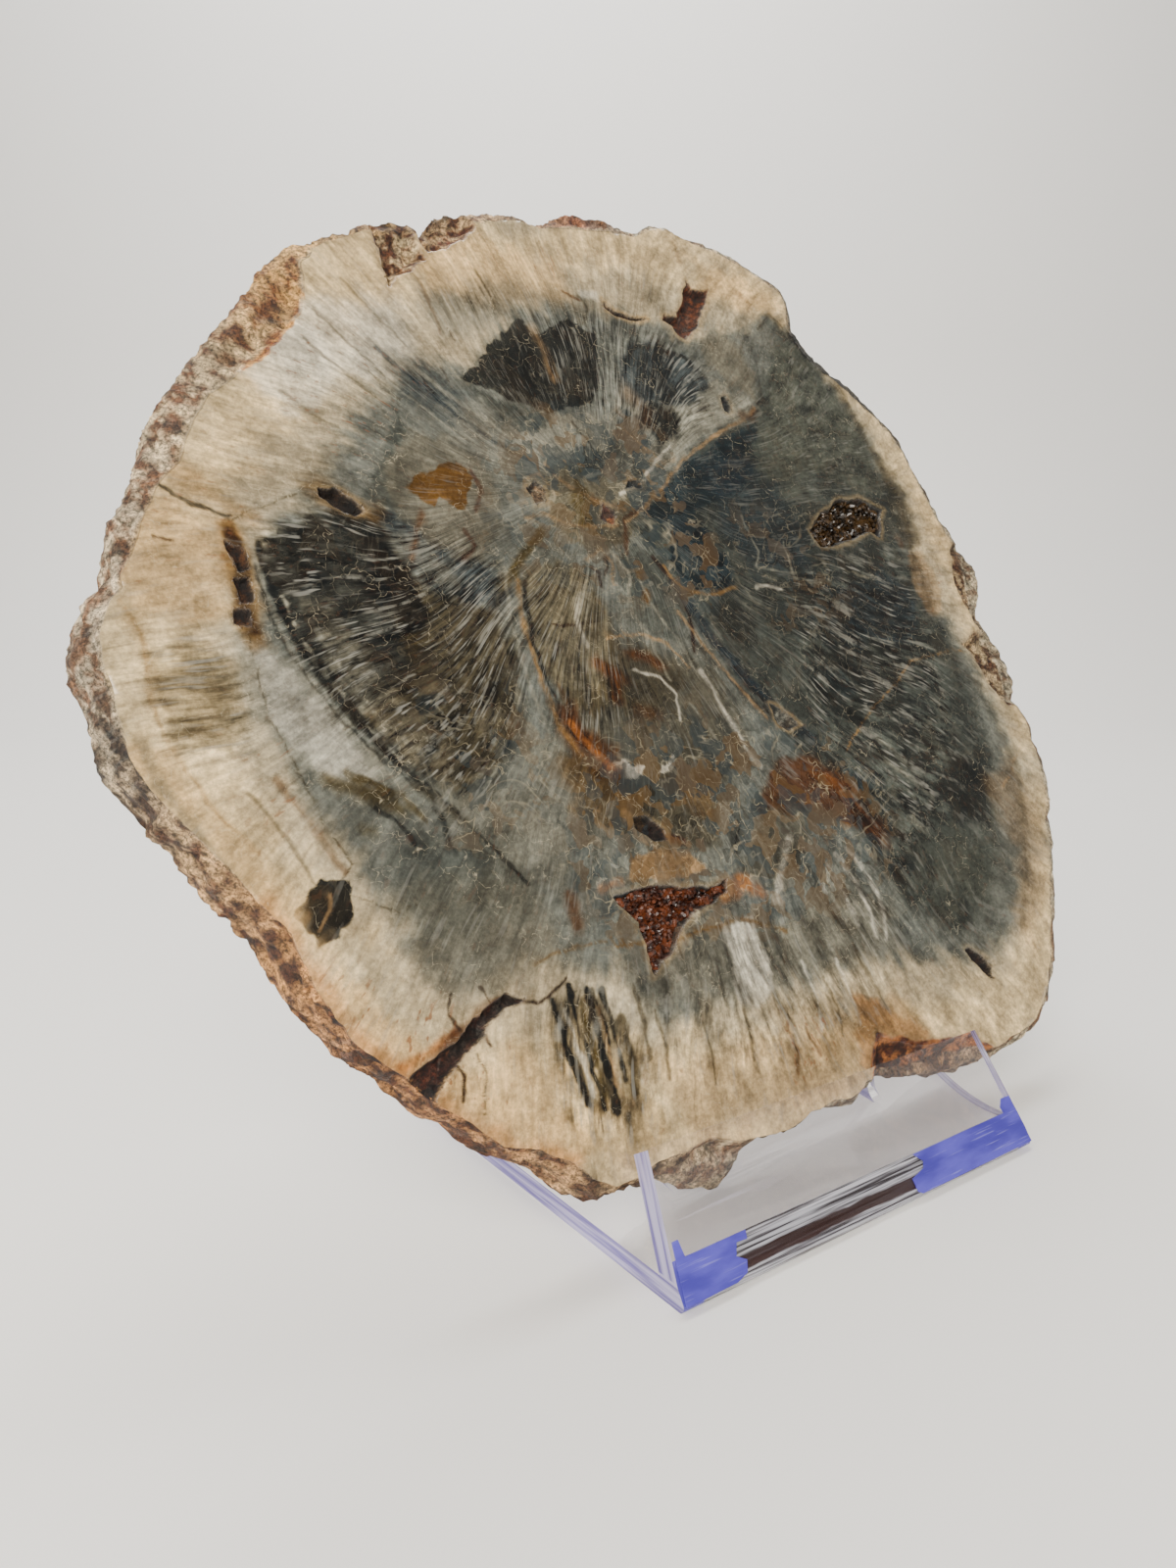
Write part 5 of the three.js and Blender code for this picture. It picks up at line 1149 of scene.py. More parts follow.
def buildBearingGroup():  # slightly bent direction and distance from the pith
    tree, given, result = newGroup("bearing", {"Place": None}, {"Unit": "Vector", "Reach": "Float"})
    look = groupLook["bearing"]
    bend = vectorNode(tree, "SCALE", bendNode(tree, given["Place"], *look["bend"]), look["reach"])
    flat = vectorNode(tree, "MULTIPLY", vectorNode(tree, "ADD", given["Place"], bend), (1, 1, 0))
    away = vectorNode(tree, "SUBTRACT", flat, (*slabPlane["pith"], 0.0))
    tree.links.new(vectorNode(tree, "NORMALIZE", away), result["Unit"])
    tree.links.new(vectorNode(tree, "LENGTH", away), result["Reach"])
    return tree


def buildRayGroup():  # noise drawn out along the lines that run from the pith
    tree, given, result = newGroup(
        "rayNoise",
        {"Unit": None, "Reach": 0.0, "Across": 100.0, "Length": 12.0, "Shift": 0.0, "Detail": 3.0},
        {"Noise": "Float"})
    wide = vectorNode(tree, "SCALE", given["Unit"], given["Across"])
    parts = addNode(tree, "ShaderNodeSeparateXYZ", {0: wide}).outputs
    along = mathNode(tree, "ADD", mathNode(tree, "DIVIDE", given["Reach"], given["Length"]), given["Shift"])
    joined = addNode(tree, "ShaderNodeCombineXYZ", {0: parts[0], 1: parts[1], 2: along}).outputs[0]
    noise = noiseNode(tree, joined, 1.0, given["Detail"], groupLook["rayRoughness"])
    tree.links.new(noise["Fac"], result["Noise"])
    return tree


def buildFlowGroup():  # level lines of a warped noise, as in banded chalcedony
    tree, given, result = newGroup(
        "flowLines", {"Place": None, "Scale": 0.05, "Levels": 7.0, "Width": 0.16, "Shift": 0.0},
        {"Line": "Float"})
    moved = vectorNode(tree, "ADD", given["Place"], given["Shift"])
    noise = noiseNode(tree, moved, given["Scale"], *groupLook["flow"])["Fac"]
    level = mathNode(tree, "FRACT", product(tree, noise, given["Levels"]))
    away = mathNode(tree, "ABSOLUTE", mathNode(tree, "SUBTRACT", level, 0.5))
    line = mathNode(tree, "SUBTRACT", 1.0, mathNode(tree, "DIVIDE", away, given["Width"]), True)
    tree.links.new(line, result["Line"])
    return tree


def buildLineGroup():  # thin lines along the edges of warped cells
    tree, given, result = newGroup(
        "cellLines", {"Place": None, "Bend": None, "Size": 7.0, "Width": 0.03, "Warp": 2.5, "Shift": 0.0},
        {"Line": "Float"})
    moved = vectorNode(tree, "ADD", given["Place"], given["Shift"])
    place = vectorNode(tree, "ADD", moved, vectorNode(tree, "SCALE", given["Bend"], given["Warp"]))
    scale = mathNode(tree, "DIVIDE", 1.0, given["Size"])
    cells = {"Vector": place, "Scale": scale}
    edge = addNode(tree, "ShaderNodeTexVoronoi", cells, feature="DISTANCE_TO_EDGE").outputs["Distance"]
    share = mathNode(tree, "DIVIDE", edge, given["Width"])
    tree.links.new(mathNode(tree, "SUBTRACT", 1.0, share, True), result["Line"])
    return tree


stoneLook = {
    "bark": 0.82,
    "sawn": 0.46,
    "sawMarks": 0.12,
    "sawWave": {"Scale": 0.22, "Distortion": 1.2, "Detail": 3.0},
    "ior": 1.54,
    "relief": (0.9, 0.0011),  # strength and height in metres
    "bend": (0.15, 2.0),
    "patchBend": 16.0,
    "patchScale": 0.19,
    "patchShare": 0.75,
    "streaks": {"broad": 4.4, "middle": 5.6},
    "noises": {  # scale, detail and roughness
        "cloud": (0.1, 5.0, 0.68),
        "speck": (0.8, 5.0, 0.75),
        "patch": (0.07, 2.0, 0.5),
        "gritAndShade": (1.1, 5.0, 0.82),
    },
    "rays": {  # across, length, shift and detail
        "broad": (26.0, 15.0, 7.0, 4.0),
        "middle": (60.0, 7.0, 0.0, 4.0),
        "darkDash": (120.0, 7.0, 4.0, 1.5),
        "paleDash": (105.0, 7.0, 11.0, 1.0),
        "fibre": (48.0, 13.0, 17.0, 3.0),
        "pore": (110.0, 2.2, 23.0, 1.0),
        "poreRow": (70.0, 30.0, 31.0, 1.0),
        "veinGap": (30.0, 9.0, 51.0, 2.0),
    },
    "flows": {"dark": (0.032, 9.0, 0.13, 0.0), "pale": (0.036, 8.0, 0.09, 33.0)},
    "lines": {"hairline": (5.0, 0.014, 9.0, 70.0), "vein": (9.0, 0.015, 9.0, 0.0)},
    "ranges": {  # from low and high, and to low and high where that isn't 0 and 1
        "cloud": (0.34, 0.66, 0.72, 1.25),
        "speck": (0.34, 0.66, 0.82, 1.13),
        "patch": (0.42, 0.6),
        "clear": (0.58, 0.4),
        "darkDash": (0.54, 0.66),
        "paleDash": (0.57, 0.68),
        "fibre": (0.53, 0.66),
        "fibrePatch": (0.44, 0.56),
        "pore": (0.6, 0.68),
        "poreRow": (0.42, 0.6),
        "cellTone": (0.0, 1.0, 0.55, 1.4),
        "bluish": (0.55, 0.75),
        "brownish": (0.7, 0.85),
        "broken": (0.42, 0.56),
        "veinGap": (0.47, 0.6),
        # colour gain of the grit, painted shade of its relief: darker in its low spots, lighter on its
        # raised spots
        "gritAndShade": (0.4, 0.6, 0.28, 1.5),
        "polish": (0.3, 0.7, 0.12, 0.26),
    },
    "stains": {  # colour and strength
        "darkDash": ((34, 30, 26), 0.8),
        "paleDash": ((158, 156, 146), 0.5),
        "fibre": ((150, 148, 136), 0.42),
        "darkFlow": ((44, 42, 34), 0.5),
        "paleFlow": ((170, 160, 134), 0.4),
        "pore": ((120, 70, 40), 0.75),
        "bluish": ((48, 60, 64), 0.4),
        "brownish": ((96, 72, 42), 0.4),
        "hairline": ((190, 178, 150), 0.55),
        "vein": ((190, 176, 142), 0.5),
    },
}


def buildStoneMaterial(bearingGroup, rayGroup, lineGroup, flowGroup):
    material, tree, shader = newMaterial("petrifiedWood")
    tone = addNode(tree, "ShaderNodeAttribute", attribute_name="tone").outputs["Color"]
    place, grain, finish = (
        addNode(tree, "ShaderNodeAttribute", attribute_name=name).outputs["Vector"]
        for name in ("place", "grain", "finish"))
    streak, speckle, figure = addNode(tree, "ShaderNodeSeparateXYZ", {0: grain}).outputs
    rough, sawn, _ = addNode(tree, "ShaderNodeSeparateXYZ", {0: finish}).outputs
    smooth = mathNode(tree, "SUBTRACT", 1.0, rough, True)
    bearing = addNode(tree, "ShaderNodeGroup", {"Place": place}, node_tree=bearingGroup).outputs
    bend = bendNode(tree, place, *stoneLook["bend"])

    def grouped(group, kind, name, labels, inputs):
        values = dict(zip(labels, stoneLook[kind][name]))
        return addNode(tree, "ShaderNodeGroup", {**inputs, **values}, node_tree=group).outputs[0]

    def ray(name):
        inputs = {"Unit": bearing["Unit"], "Reach": bearing["Reach"]}
        return grouped(rayGroup, "rays", name, ("Across", "Length", "Shift", "Detail"), inputs)

    def lines(name):
        inputs = {"Place": place, "Bend": bend}
        return grouped(lineGroup, "lines", name, ("Size", "Width", "Warp", "Shift"), inputs)

    def flow(name):
        return grouped(flowGroup, "flows", name, ("Scale", "Levels", "Width", "Shift"), {"Place": place})

    def span(name, value):
        return rangeNode(tree, value, *stoneLook["ranges"][name])

    def shade(base, gain):
        return mixColour(tree, 1.0, base, gain, "MULTIPLY")

    def streaked(base, name):  # one plus the centred noise, to multiply a colour
        noise = product(tree, mathNode(tree, "SUBTRACT", ray(name), 0.5), streak)
        inputs = {0: noise, 1: stoneLook["streaks"][name], 2: 1.0}
        return shade(base, addNode(tree, "ShaderNodeMath", inputs, operation="MULTIPLY_ADD").outputs[0])

    def stain(base, name, *masks):
        tint, strength = stoneLook["stains"][name]
        return mixColour(tree, product(tree, *masks, strength), base, linearColour(tint))

    # Slow mottling, fine grain and streaks
    cloud, speck, patch, gritAndShade = (
        noiseNode(tree, place, *noise)["Fac"] for noise in stoneLook["noises"].values())
    patchy, clear = span("patch", patch), span("clear", patch)
    colour = shade(tone, span("cloud", cloud))
    colour = shade(colour, span("speck", speck))
    colour = streaked(colour, "broad")
    colour = streaked(colour, "middle")
    colour = stain(colour, "darkDash", span("darkDash", ray("darkDash")), streak, patchy)
    colour = stain(colour, "paleDash", span("paleDash", ray("paleDash")), streak, clear)
    colour = stain(colour, "fibre", span("fibre", ray("fibre")), streak, span("fibrePatch", cloud))
    # Bands that flow through the middle of the slice
    colour = stain(colour, "darkFlow", flow("dark"), figure, patchy)
    colour = stain(colour, "paleFlow", flow("pale"), figure, clear)
    # Brown pores in radial rows
    rows = span("poreRow", ray("poreRow"))
    colour = stain(colour, "pore", span("pore", ray("pore")), rows, speckle)
    # Angular patches round the pith and through the middle
    bent = vectorNode(tree, "ADD", place, vectorNode(tree, "SCALE", bend, stoneLook["patchBend"]))
    cells = {"Vector": bent, "Scale": stoneLook["patchScale"]}
    cells = addNode(tree, "ShaderNodeTexVoronoi", cells, feature="F1").outputs["Color"]
    cellTone, cellBlue, cellBrown = addNode(tree, "ShaderNodeSeparateXYZ", {0: cells}).outputs
    patched = product(tree, figure, stoneLook["patchShare"])
    colour = mixColour(tree, patched, colour, shade(colour, span("cellTone", cellTone)))
    colour = stain(colour, "bluish", span("bluish", cellBlue), figure)
    colour = stain(colour, "brownish", span("brownish", cellBrown), figure)
    # Hairline veins and scratches
    colour = stain(colour, "hairline", lines("hairline"), patchy, span("broken", speck), smooth)
    colour = stain(colour, "vein", lines("vein"), figure, span("veinGap", ray("veinGap")), smooth)
    # Grit of the bark and the open hollows: the bark's own granular colour, with painted shade that darkens
    # the low spots of the grit's relief and lightens its raised spots
    colour = mixColour(tree, rough, colour, shade(colour, span("gritAndShade", gritAndShade)))
    # Polish and relief
    bark, cut = product(tree, rough, stoneLook["bark"]), product(tree, sawn, stoneLook["sawn"])
    matt = mathNode(tree, "MAXIMUM", bark, cut)
    saw = addNode(tree, "ShaderNodeTexWave", {"Vector": place, **stoneLook["sawWave"]},
                  wave_type="BANDS", bands_direction="Y").outputs["Fac"]
    sawLine = product(tree, saw, sawn, stoneLook["sawMarks"])
    height = mathNode(tree, "ADD", product(tree, gritAndShade, rough), sawLine)
    strength, distance = stoneLook["relief"]
    bump = addNode(tree, "ShaderNodeBump", {"Height": height, "Strength": strength, "Distance": distance})
    fillInputs(tree, shader, {
        "Base Color": colour, "Roughness": mathNode(tree, "MAXIMUM", span("polish", cloud), matt),
        "IOR": stoneLook["ior"], "Normal": bump.outputs[0]})
    return material


# Crystals that line the two large hollows

crystalSettings = {
    "right": {"node": "crystal_crust_right", "slot": "dark_crystal", "size": 0.9, "count": 900, "seed": 3,
              "colours": ((66, 48, 26), (24, 18, 12)), "roughness": 0.2},
    "lower": {"node": "crystal_crust_lower", "slot": "rust_crystal", "size": 0.75, "count": 1300, "seed": 8,
              "colours": ((98, 50, 26), (40, 18, 11)), "roughness": 0.32},
}
crystalShape = {
    "cone": {"Vertices": 6, "Radius Top": 0.0005, "Radius Bottom": 0.0009, "Depth": 0.0024},
    "turn": (0.9, 0.9, 6.28),
    "sizes": (0.45, 1.25),
    "floorStep": 0.9,
    "floorSink": 0.05,
    "floorDepth": 0.7,  # crystals stand where the hollow is at least this deep
    "cover": 0.35,  # and stay this far behind the polished face
    "mottle": (420.0, 4.0),
    "mottleRange": (0.38, 0.62),
}


def floorPatch(name):  # the part of a hollow's floor that crystals stand on
    across, up = zip(*hollows[name][0])
    step = crystalShape["floorStep"]
    us, vs = (np.arange(min(each) - 1, max(each) + 1, step) for each in (across, up))
    u, v = (each.ravel() for each in np.meshgrid(us, vs))
    floor, _ = hollowDepth(u, v)
    spots = fromSlab(u, v, floor - crystalShape["floorSink"])
    wide = len(us)
    quads = []
    for row in range(len(vs) - 1):
        for column in range(wide - 1):
            a = row * wide + column
            corners = (a, a + 1, a + wide + 1, a + wide)
            if min(floor[c] for c in corners) > crystalShape["floorDepth"]:
                quads.append(corners)
    mesh = bpy.data.meshes.new(name + "Floor")
    mesh.from_pydata(spots.tolist(), [], quads)
    return mesh


def crystalTree(material):
    tree = bpy.data.node_groups.new("crystalCrust", "GeometryNodeTree")
    sockets = (("Geometry", "INPUT", "Geometry"), ("Size", "INPUT", "Float"), ("Density", "INPUT", "Float"),
               ("Seed", "INPUT", "Int"), ("Geometry", "OUTPUT", "Geometry"))
    for label, way, kind in sockets:
        tree.interface.new_socket(name=label, in_out=way, socket_type="NodeSocket" + kind)
    given = tree.nodes.new("NodeGroupInput").outputs
    result = tree.nodes.new("NodeGroupOutput").inputs
    spread = addNode(tree, "GeometryNodeDistributePointsOnFaces",
                     {"Mesh": given["Geometry"], "Density": given["Density"], "Seed": given["Seed"]})
    crystal = addNode(tree, "GeometryNodeMeshCone", crystalShape["cone"], fill_type="NGON")
    x, y, z = crystalShape["turn"]
    turn = addNode(tree, "FunctionNodeRandomValue", {0: (-x, -y, 0.0), 1: (x, y, z), "Seed": given["Seed"]},
                   data_type="FLOAT_VECTOR")
    small, large = crystalShape["sizes"]
    swell = addNode(tree, "FunctionNodeRandomValue", {2: small, 3: large}, data_type="FLOAT")
    lean = addNode(tree, "FunctionNodeRotateRotation", {0: spread.outputs["Rotation"], 1: turn.outputs[0]},
                   rotation_space="LOCAL")
    placed = addNode(tree, "GeometryNodeInstanceOnPoints",
                     {"Points": spread.outputs["Points"], "Instance": crystal.outputs["Mesh"],
                      "Rotation": lean.outputs[0], "Scale": product(tree, swell.outputs[1], given["Size"])})
    real = addNode(tree, "GeometryNodeRealizeInstances", {"Geometry": placed.outputs[0]})
    coated = addNode(tree, "GeometryNodeSetMaterial", {"Geometry": real.outputs[0], "Material": material})
    tree.links.new(coated.outputs[0], result["Geometry"])
    return tree


def socketIdentifier(tree, label):
    return next(i.identifier for i in tree.interface.items_tree if i.name == label and i.in_out == "INPUT")


def keepFront(mesh):  # no crystal stands out of its hollow
    s, c = math.sin(slabPlane["lean"]), math.cos(slabPlane["lean"])
    spots = np.zeros(len(mesh.vertices) * 3)
    mesh.vertices.foreach_get("co", spots)
    spots = spots.reshape(-1, 3) / mm
    dy, dz = spots[:, 1] - slabPlane["footY"], spots[:, 2] - slabPlane["footZ"]
    deep = np.maximum(dy * c - dz * s, crystalShape["cover"])
    mesh.vertices.foreach_set("co", fromSlab(spots[:, 0], dy * s + dz * c, deep).ravel())
    mesh.update()


def buildCrystalMaterial(name, look):
    material, tree, shader = newMaterial(name + "Crystal")
    noise = noiseNode(tree, objectPlace(tree), *crystalShape["mottle"])["Fac"]
    light, dark = (linearColour(colour) for colour in look["colours"])
    colour = mixColour(tree, rangeNode(tree, noise, *crystalShape["mottleRange"]), dark, light)
    fillInputs(tree, shader, {"Base Color": colour, "Roughness": look["roughness"], "IOR": stoneLook["ior"]})
    return material


def buildCrystals(name):
    look = crystalSettings[name]
    mesh = floorPatch(name)
    holder = addObject(name + "CrystalCrust", mesh)
    area = sum(face.area for face in mesh.polygons)
    tree = crystalTree(buildCrystalMaterial(name, look))
    modifier = holder.modifiers.new("crust", "NODES")
    modifier.node_group = tree
    for label, value in (("Size", look["size"]), ("Density", look["count"] / area), ("Seed", look["seed"])):
        modifier[socketIdentifier(tree, label)] = value
    evaluated = holder.evaluated_get(bpy.context.evaluated_depsgraph_get())
    crust = bpy.data.meshes.new_from_object(evaluated)
    holder.modifiers.remove(modifier)
    holder.data = crust
    keepFront(crust)
    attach(holder, "root")
    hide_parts(look["node"])
    print("crystals:", name, len(crust.polygons), "faces")


# Clear stand

filmSettings = {
    "colour": (90, 82, 192),
    "deep": (66, 58, 158),
    "pale": (150, 148, 222),
    "roughness": 0.3,
    "cloudScale": (60, 60, 220),
    "cloudRange": (0.35, 0.65),
    "scratchScale": (90, 400, 2600),
    "scratchRange": (0.6, 0.7),
    "scratchShare": 0.4,
    "relief": (0.3, 0.0002),  # strength and height in metres
}
standSettings = {
    "bevel": 0.00035,
    "bevelAngle": math.radians(40),
    "sharpAngle": math.radians(25),
    "sheet": 0.0055,  # just over the thickness of the sheet
    "ior": 1.49,
    "haze": (0.45, 0.75, 0.01, 0.0625),  # range of the smear, then of the roughness
    "smear": (60.0, 5.0),
    "tint": (0.93, 0.92, 0.935),
    "shadowPass": 0.75,
    "lipLean": math.radians(32.2),
    "stripTop": 11.0,  # strip of scuffs and painted shade along the bottom of the lip, in mm up its slope
    "stripBack": -0.004,
    "edge": {
        # painted reflection of the purple film in the cut edges, dark and pale; the pale lines are painted
        # light carried along the sheet
        "colours": ((112, 100, 178), (206, 200, 240)),
        "clear": 0.45,
        "roughness": 0.22,
        "shadowPass": 0.7,
        "lines": 900.0,
        "lineRange": (0.35, 0.65),
        "drift": 30.0,
    },
    "strip": {
        "scuffs": ((66, 62, 66), (196, 196, 206)),
        "scuffScale": (34, 200, 2300),
        "scuffTurn": 0.02,
        "scuffRange": (0.38, 0.62),
        "band": ((50, 28, 24), 0.93),  # colour and strength of the dark band, painted shade where the stone's shaded foot shows through the lip
        "bandFoot": (0.0037, 0.0041),  # heights over which it begins, and over which it ends
        "bandTop": (0.0064, 0.0060),
        "wave": 90.0,
        "ragged": 0.0014,
        "ends": (0.006, 0.005),  # the film's colour starts this far from each end
        "clear": 0.3,
        "roughness": 0.24,
    },
}


def passShadows(tree, share):  # a clear sheet throws only a faint shadow
    path = addNode(tree, "ShaderNodeLightPath").outputs["Is Shadow Ray"]
    return mathNode(tree, "SUBTRACT", 1.0, product(tree, path, share))


def buildEdgeMaterial():  # sawn and flame-polished ends, painted with the purple of the film round them as a reflection that the sheet carries to its edges, and with pale painted lines of light along them
    material, tree, shader = newMaterial("acrylicCutEdge")
    place = objectPlace(tree)
    look, lean = standSettings["edge"], standSettings["lipLean"]
    up = addNode(tree, "ShaderNodeSeparateXYZ", {0: place}).outputs[2]
    across = vectorNode(tree, "DOT_PRODUCT", place, (0, math.cos(lean), -math.sin(lean)))
    onLip = mathNode(tree, "GREATER_THAN", up, standSettings["sheet"])
    across = mathNode(tree, "ADD", up, product(tree, onLip, mathNode(tree, "SUBTRACT", across, up)))
    long = addNode(tree, "ShaderNodeCombineXYZ", {0: product(tree, across, look["lines"])}).outputs[0]
    long = vectorNode(tree, "ADD", long, vectorNode(tree, "SCALE", place, look["drift"]))
    dark, light = (linearColour(colour) for colour in look["colours"])
    share = rangeNode(tree, noiseNode(tree, long, 1.0, 3.0)["Fac"], *look["lineRange"])
    fillInputs(tree, shader, {
        "Base Color": mixColour(tree, share, dark, light), "Transmission Weight": look["clear"],
        "IOR": standSettings["ior"], "Roughness": look["roughness"],
        "Alpha": passShadows(tree, look["shadowPass"])})
    return material


def buildStripMaterial():  # silver scuffs over a dark red-brown band of painted shade, the stone's shaded foot seen through the lip, under the lip's film
    material, tree, shader = newMaterial("acrylicScuffedShadeStrip")
    place, look = objectPlace(tree), standSettings["strip"]
    side, _, height = addNode(tree, "ShaderNodeSeparateXYZ", {0: place}).outputs
    scuffs = {"Vector": place, "Rotation": (0, look["scuffTurn"], 0), "Scale": look["scuffScale"]}
    long = addNode(tree, "ShaderNodeMapping", scuffs).outputs[0]
    dark, light = (linearColour(colour) for colour in look["scuffs"])
    share = rangeNode(tree, noiseNode(tree, long, 1.0, 3.0, 0.6)["Fac"], *look["scuffRange"])
    silver = mixColour(tree, share, dark, light)
    wave = {0: noiseNode(tree, place, look["wave"])["Fac"], 1: look["ragged"], 2: height}
    ragged = addNode(tree, "ShaderNodeMath", wave, operation="MULTIPLY_ADD").outputs[0]
    # the dark band is painted shade: the shaded foot of the stone seen through the bottom of the lip
    over, under = (rangeNode(tree, ragged, *look[name]) for name in ("bandFoot", "bandTop"))
    tint, strength = look["band"]
    colour = mixColour(tree, product(tree, over, under, strength), silver, linearColour(tint))
    across = [corner[0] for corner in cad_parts["display_stand"].bound_box]
    left = rangeNode(tree, side, *(min(across) + end for end in look["ends"]))
    right = rangeNode(tree, side, *(max(across) - end for end in look["ends"]))
    ends = mathNode(tree, "MAXIMUM", left, right)
    colour = mixColour(tree, ends, colour, linearColour(filmSettings["colour"]))
    fillInputs(tree, shader, {
        "Base Color": colour, "Transmission Weight": look["clear"], "IOR": standSettings["ior"],
        "Roughness": look["roughness"]})
    return material


def buildClearMaterial():
    material, tree, shader = newMaterial("clearAcrylic")
    smear = noiseNode(tree, objectPlace(tree), *standSettings["smear"])["Fac"]
    fillInputs(tree, shader, {
        "Base Color": (*standSettings["tint"], 1.0), "Transmission Weight": 1.0, "IOR": standSettings["ior"],
        "Roughness": rangeNode(tree, smear, *standSettings["haze"]),
        "Alpha": passShadows(tree, standSettings["shadowPass"])})
    return material


def buildStand():
    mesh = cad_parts["display_stand"].data.copy()
    mesh.materials.clear()
    work = bmesh.new()
    work.from_mesh(mesh)
    bmesh.ops.remove_doubles(work, verts=work.verts, dist=1e-6)
    bmesh.ops.dissolve_limit(work, angle_limit=math.radians(1), verts=work.verts, edges=work.edges)
    top = standSettings["stripTop"] * mm * math.cos(standSettings["lipLean"])
    parts = work.verts[:] + work.edges[:] + work.faces[:]
    bmesh.ops.bisect_plane(work, geom=parts, plane_co=(0, 0, top), plane_no=(0, 0, 1), dist=1e-7)
    work.to_mesh(mesh)
    work.free()
    piece = addObject("acrylicStand", mesh)
    bevel = piece.modifiers.new("softEdges", "BEVEL")
    bevel.width = standSettings["bevel"]
    bevel.segments = 2
    bevel.limit_method = "ANGLE"
    bevel.angle_limit = standSettings["bevelAngle"]
    bevel.harden_normals = False
    solid = bpy.data.meshes.new_from_object(piece.evaluated_get(bpy.context.evaluated_depsgraph_get()))
    piece.modifiers.remove(bevel)
    piece.data = solid
    smoothShade(solid, standSettings["sharpAngle"])
    solid.materials.clear()
    for material in (buildClearMaterial(), buildEdgeMaterial(), buildStripMaterial()):
        solid.materials.append(material)
    for face in solid.polygons:
        if abs(face.normal.x) > 0.8:
            face.material_index = 1
        elif face.normal.y < -0.5 and face.center.y < standSettings["stripBack"] and face.center.z < top:
            face.material_index = 2
    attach(piece, "root")
    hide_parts("display_stand")
    print("stand:", len(solid.polygons), "faces")


# Purple film left on the lip

def paintFilms():
    material, tree, shader = newMaterial("protectiveFilm")
    place = objectPlace(tree)
    wide, long = (
        addNode(tree, "ShaderNodeMapping", {"Vector": place, "Scale": filmSettings[name]}).outputs[0]
        for name in ("cloudScale", "scratchScale"))
    colour, deep, pale = (linearColour(filmSettings[name]) for name in ("colour", "deep", "pale"))
    cloud, scratch = noiseNode(tree, wide, 1.0, 4.0)["Fac"], noiseNode(tree, long, 1.0)["Fac"]
    colour = mixColour(tree, rangeNode(tree, cloud, *filmSettings["cloudRange"]), deep, colour)
    mark = rangeNode(tree, scratch, *filmSettings["scratchRange"])
    mark = product(tree, mark, filmSettings["scratchShare"])
    strength, distance = filmSettings["relief"]
    bump = addNode(tree, "ShaderNodeBump", {"Height": scratch, "Strength": strength, "Distance": distance})
    fillInputs(tree, shader, {
        "Base Color": mixColour(tree, mark, colour, pale), "Roughness": filmSettings["roughness"],
        "Normal": bump.outputs[0]})
    for name in ("film_left", "film_right"):
        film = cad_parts[name]
        film.data.materials.clear()
        film.data.materials.append(material)


# Floor, lights and camera

setSettings = {
    "floorColour": (238, 236, 232),
    "floorRoughness": 0.6,
    "floorLevel": -0.0003,
    "floorReach": (-1.5, 0.9),
    "halfWidth": 2.5,
    "cove": (0.5, 12),  # radius and steps of the bend up to the wall
    "wallTop": 2.2,
    "forward": (0.5848, 0.8112),  # the way the camera looks, along the floor
    "worldColour": (236, 234, 230),
    "worldStrength": 0.3,
    "lights": [  # name, position, aim, size, watts, colour
        ("windowLight", (-0.85, -0.75, 0.85), (0.0, 0.0, 0.12), 0.9, 29.0, (255, 249, 240)),
        ("sideLight", (-1.0, 0.15, 0.5), (0.0, 0.05, 0.12), 0.7, 6.0, (255, 250, 242)),
        ("topLight", (0.35, 0.75, 1.5), (0.35, 0.75, 0.0), 1.2, 30.0, (255, 255, 255)),
    ],
    "camera": (-0.19380, -0.16490, 0.14267),
    "cameraAxes": ((0.81116, -0.58483, 0.0), (0.09697, 0.13450, 0.98616), (0.57673, 0.79993, -0.16581)),
    "lens": 25.425,
}


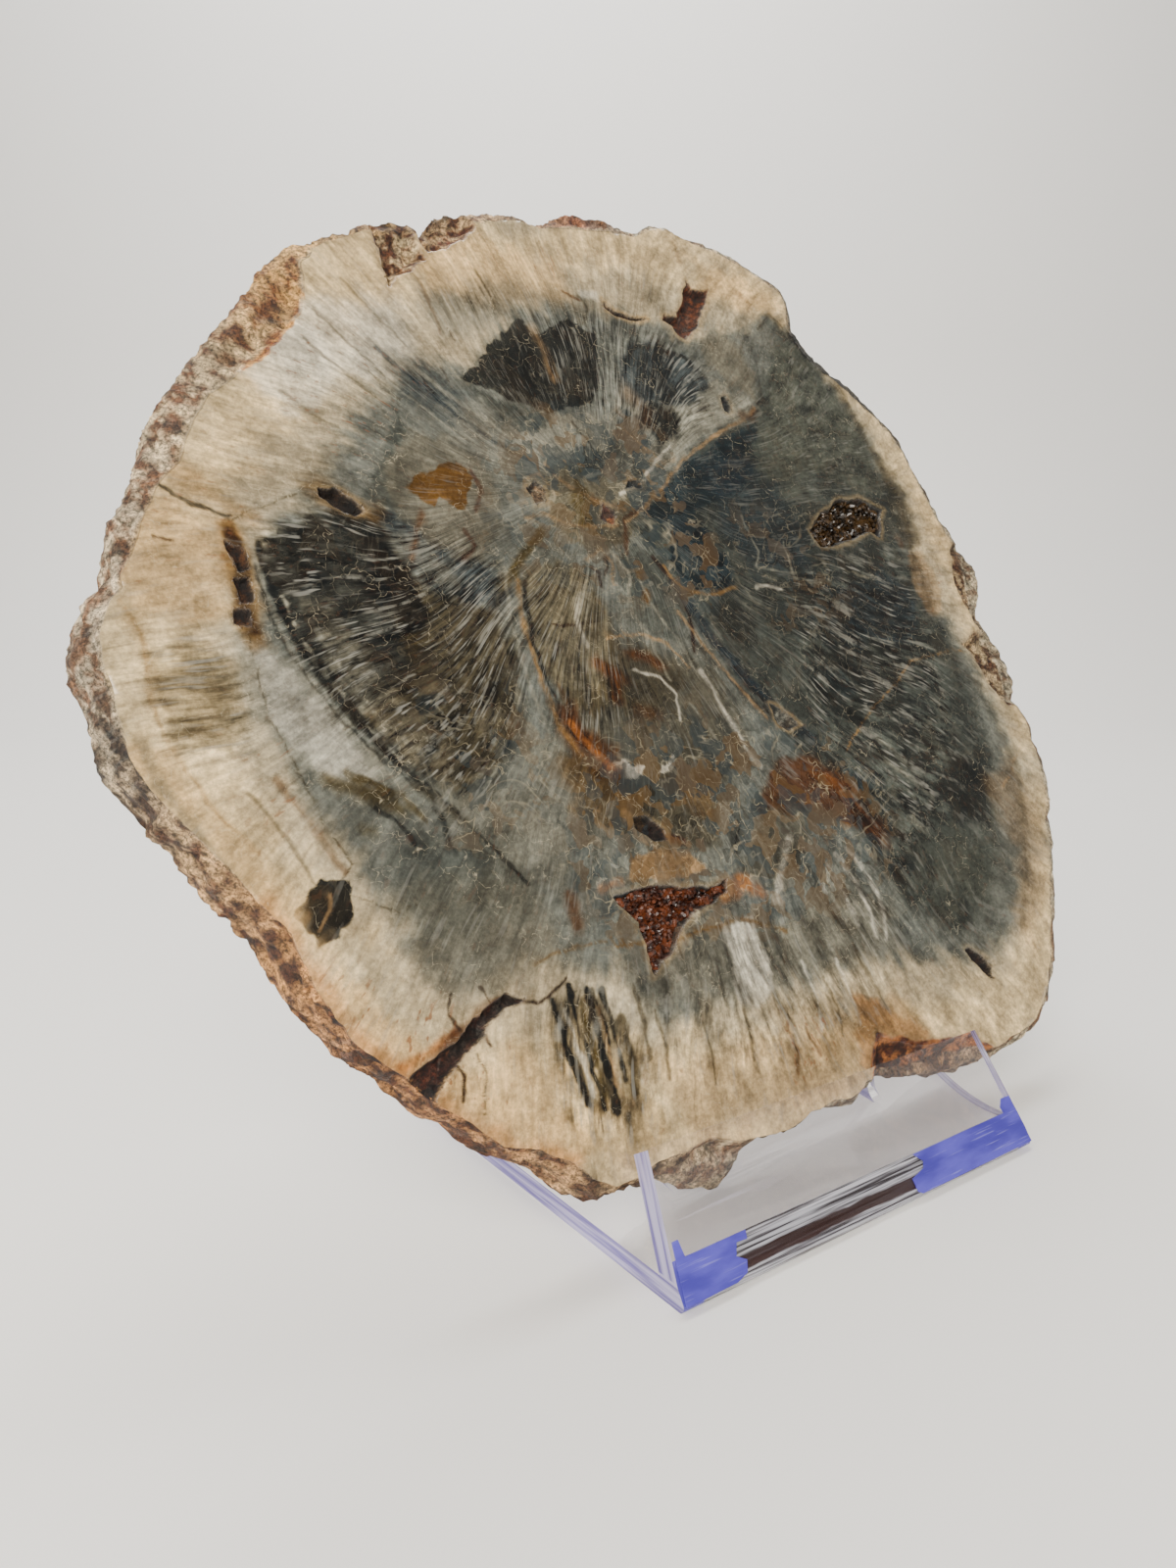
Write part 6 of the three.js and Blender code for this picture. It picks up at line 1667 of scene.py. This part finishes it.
def buildBackdrop():
    fx, fy = setSettings["forward"]
    material, tree, shader = newMaterial("paleFloor")
    fillInputs(tree, shader, {
        "Base Color": linearColour(setSettings["floorColour"]), "Roughness": setSettings["floorRoughness"]})
    low, (near, far), (cove, steps) = (setSettings[name] for name in ("floorLevel", "floorReach", "cove"))
    profile = [(near, low), (far, low)]
    for step in range(1, steps + 1):
        turn = step / steps * math.pi / 2
        profile.append((far + cove * math.sin(turn), low + cove - cove * math.cos(turn)))
    profile.append((far + cove, setSettings["wallTop"]))
    half = setSettings["halfWidth"]
    spots = [(along * fx + side * fy, along * fy - side * fx, up)
             for along, up in profile for side in (-half, half)]
    quads = [(2 * i, 2 * i + 1, 2 * i + 3, 2 * i + 2) for i in range(len(profile) - 1)]
    mesh = bpy.data.meshes.new("backdrop")
    mesh.from_pydata(spots, [], quads)
    mesh.polygons.foreach_set("use_smooth", [True] * len(quads))
    mesh.materials.append(material)
    addObject("backdrop", mesh)


def buildSet():
    buildBackdrop()
    world = bpy.data.worlds.new("studio")
    bpy.context.scene.world = world
    world.use_nodes = True
    sky = world.node_tree.nodes["Background"]
    sky.inputs[0].default_value = linearColour(setSettings["worldColour"])
    sky.inputs[1].default_value = setSettings["worldStrength"]
    for name, spot, aim, size, watts, colour in setSettings["lights"]:
        light = bpy.data.lights.new(name, "AREA")
        light.size = size
        light.energy = watts
        light.color = toLinear(colour).tolist()
        lamp = addObject(name, light)
        lamp.location = spot
        lamp.rotation_euler = (Vector(aim) - Vector(spot)).to_track_quat("-Z", "Y").to_euler()
    data = bpy.data.cameras.new("camera")
    data.lens = setSettings["lens"]
    data.sensor_width = 36.0
    data.sensor_fit = "AUTO"
    data.clip_start = 0.01
    camera = addObject("camera", data)
    right, up, ahead = (Vector(axis) for axis in setSettings["cameraAxes"])
    turn = Matrix((right, up, -ahead)).transposed().to_4x4()
    camera.matrix_world = Matrix.Translation(setSettings["camera"]) @ turn
    bpy.context.scene.camera = camera
    print("set: backdrop, lights, camera")


sliceObject = buildSlice()
stoneMaterial = buildStoneMaterial(buildBearingGroup(), buildRayGroup(), buildLineGroup(), buildFlowGroup())
sliceObject.data.materials.append(stoneMaterial)
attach(sliceObject, "root")
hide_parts("slab")
for crustName in crystalSettings:
    buildCrystals(crustName)
buildStand()
paintFilms()
buildSet()
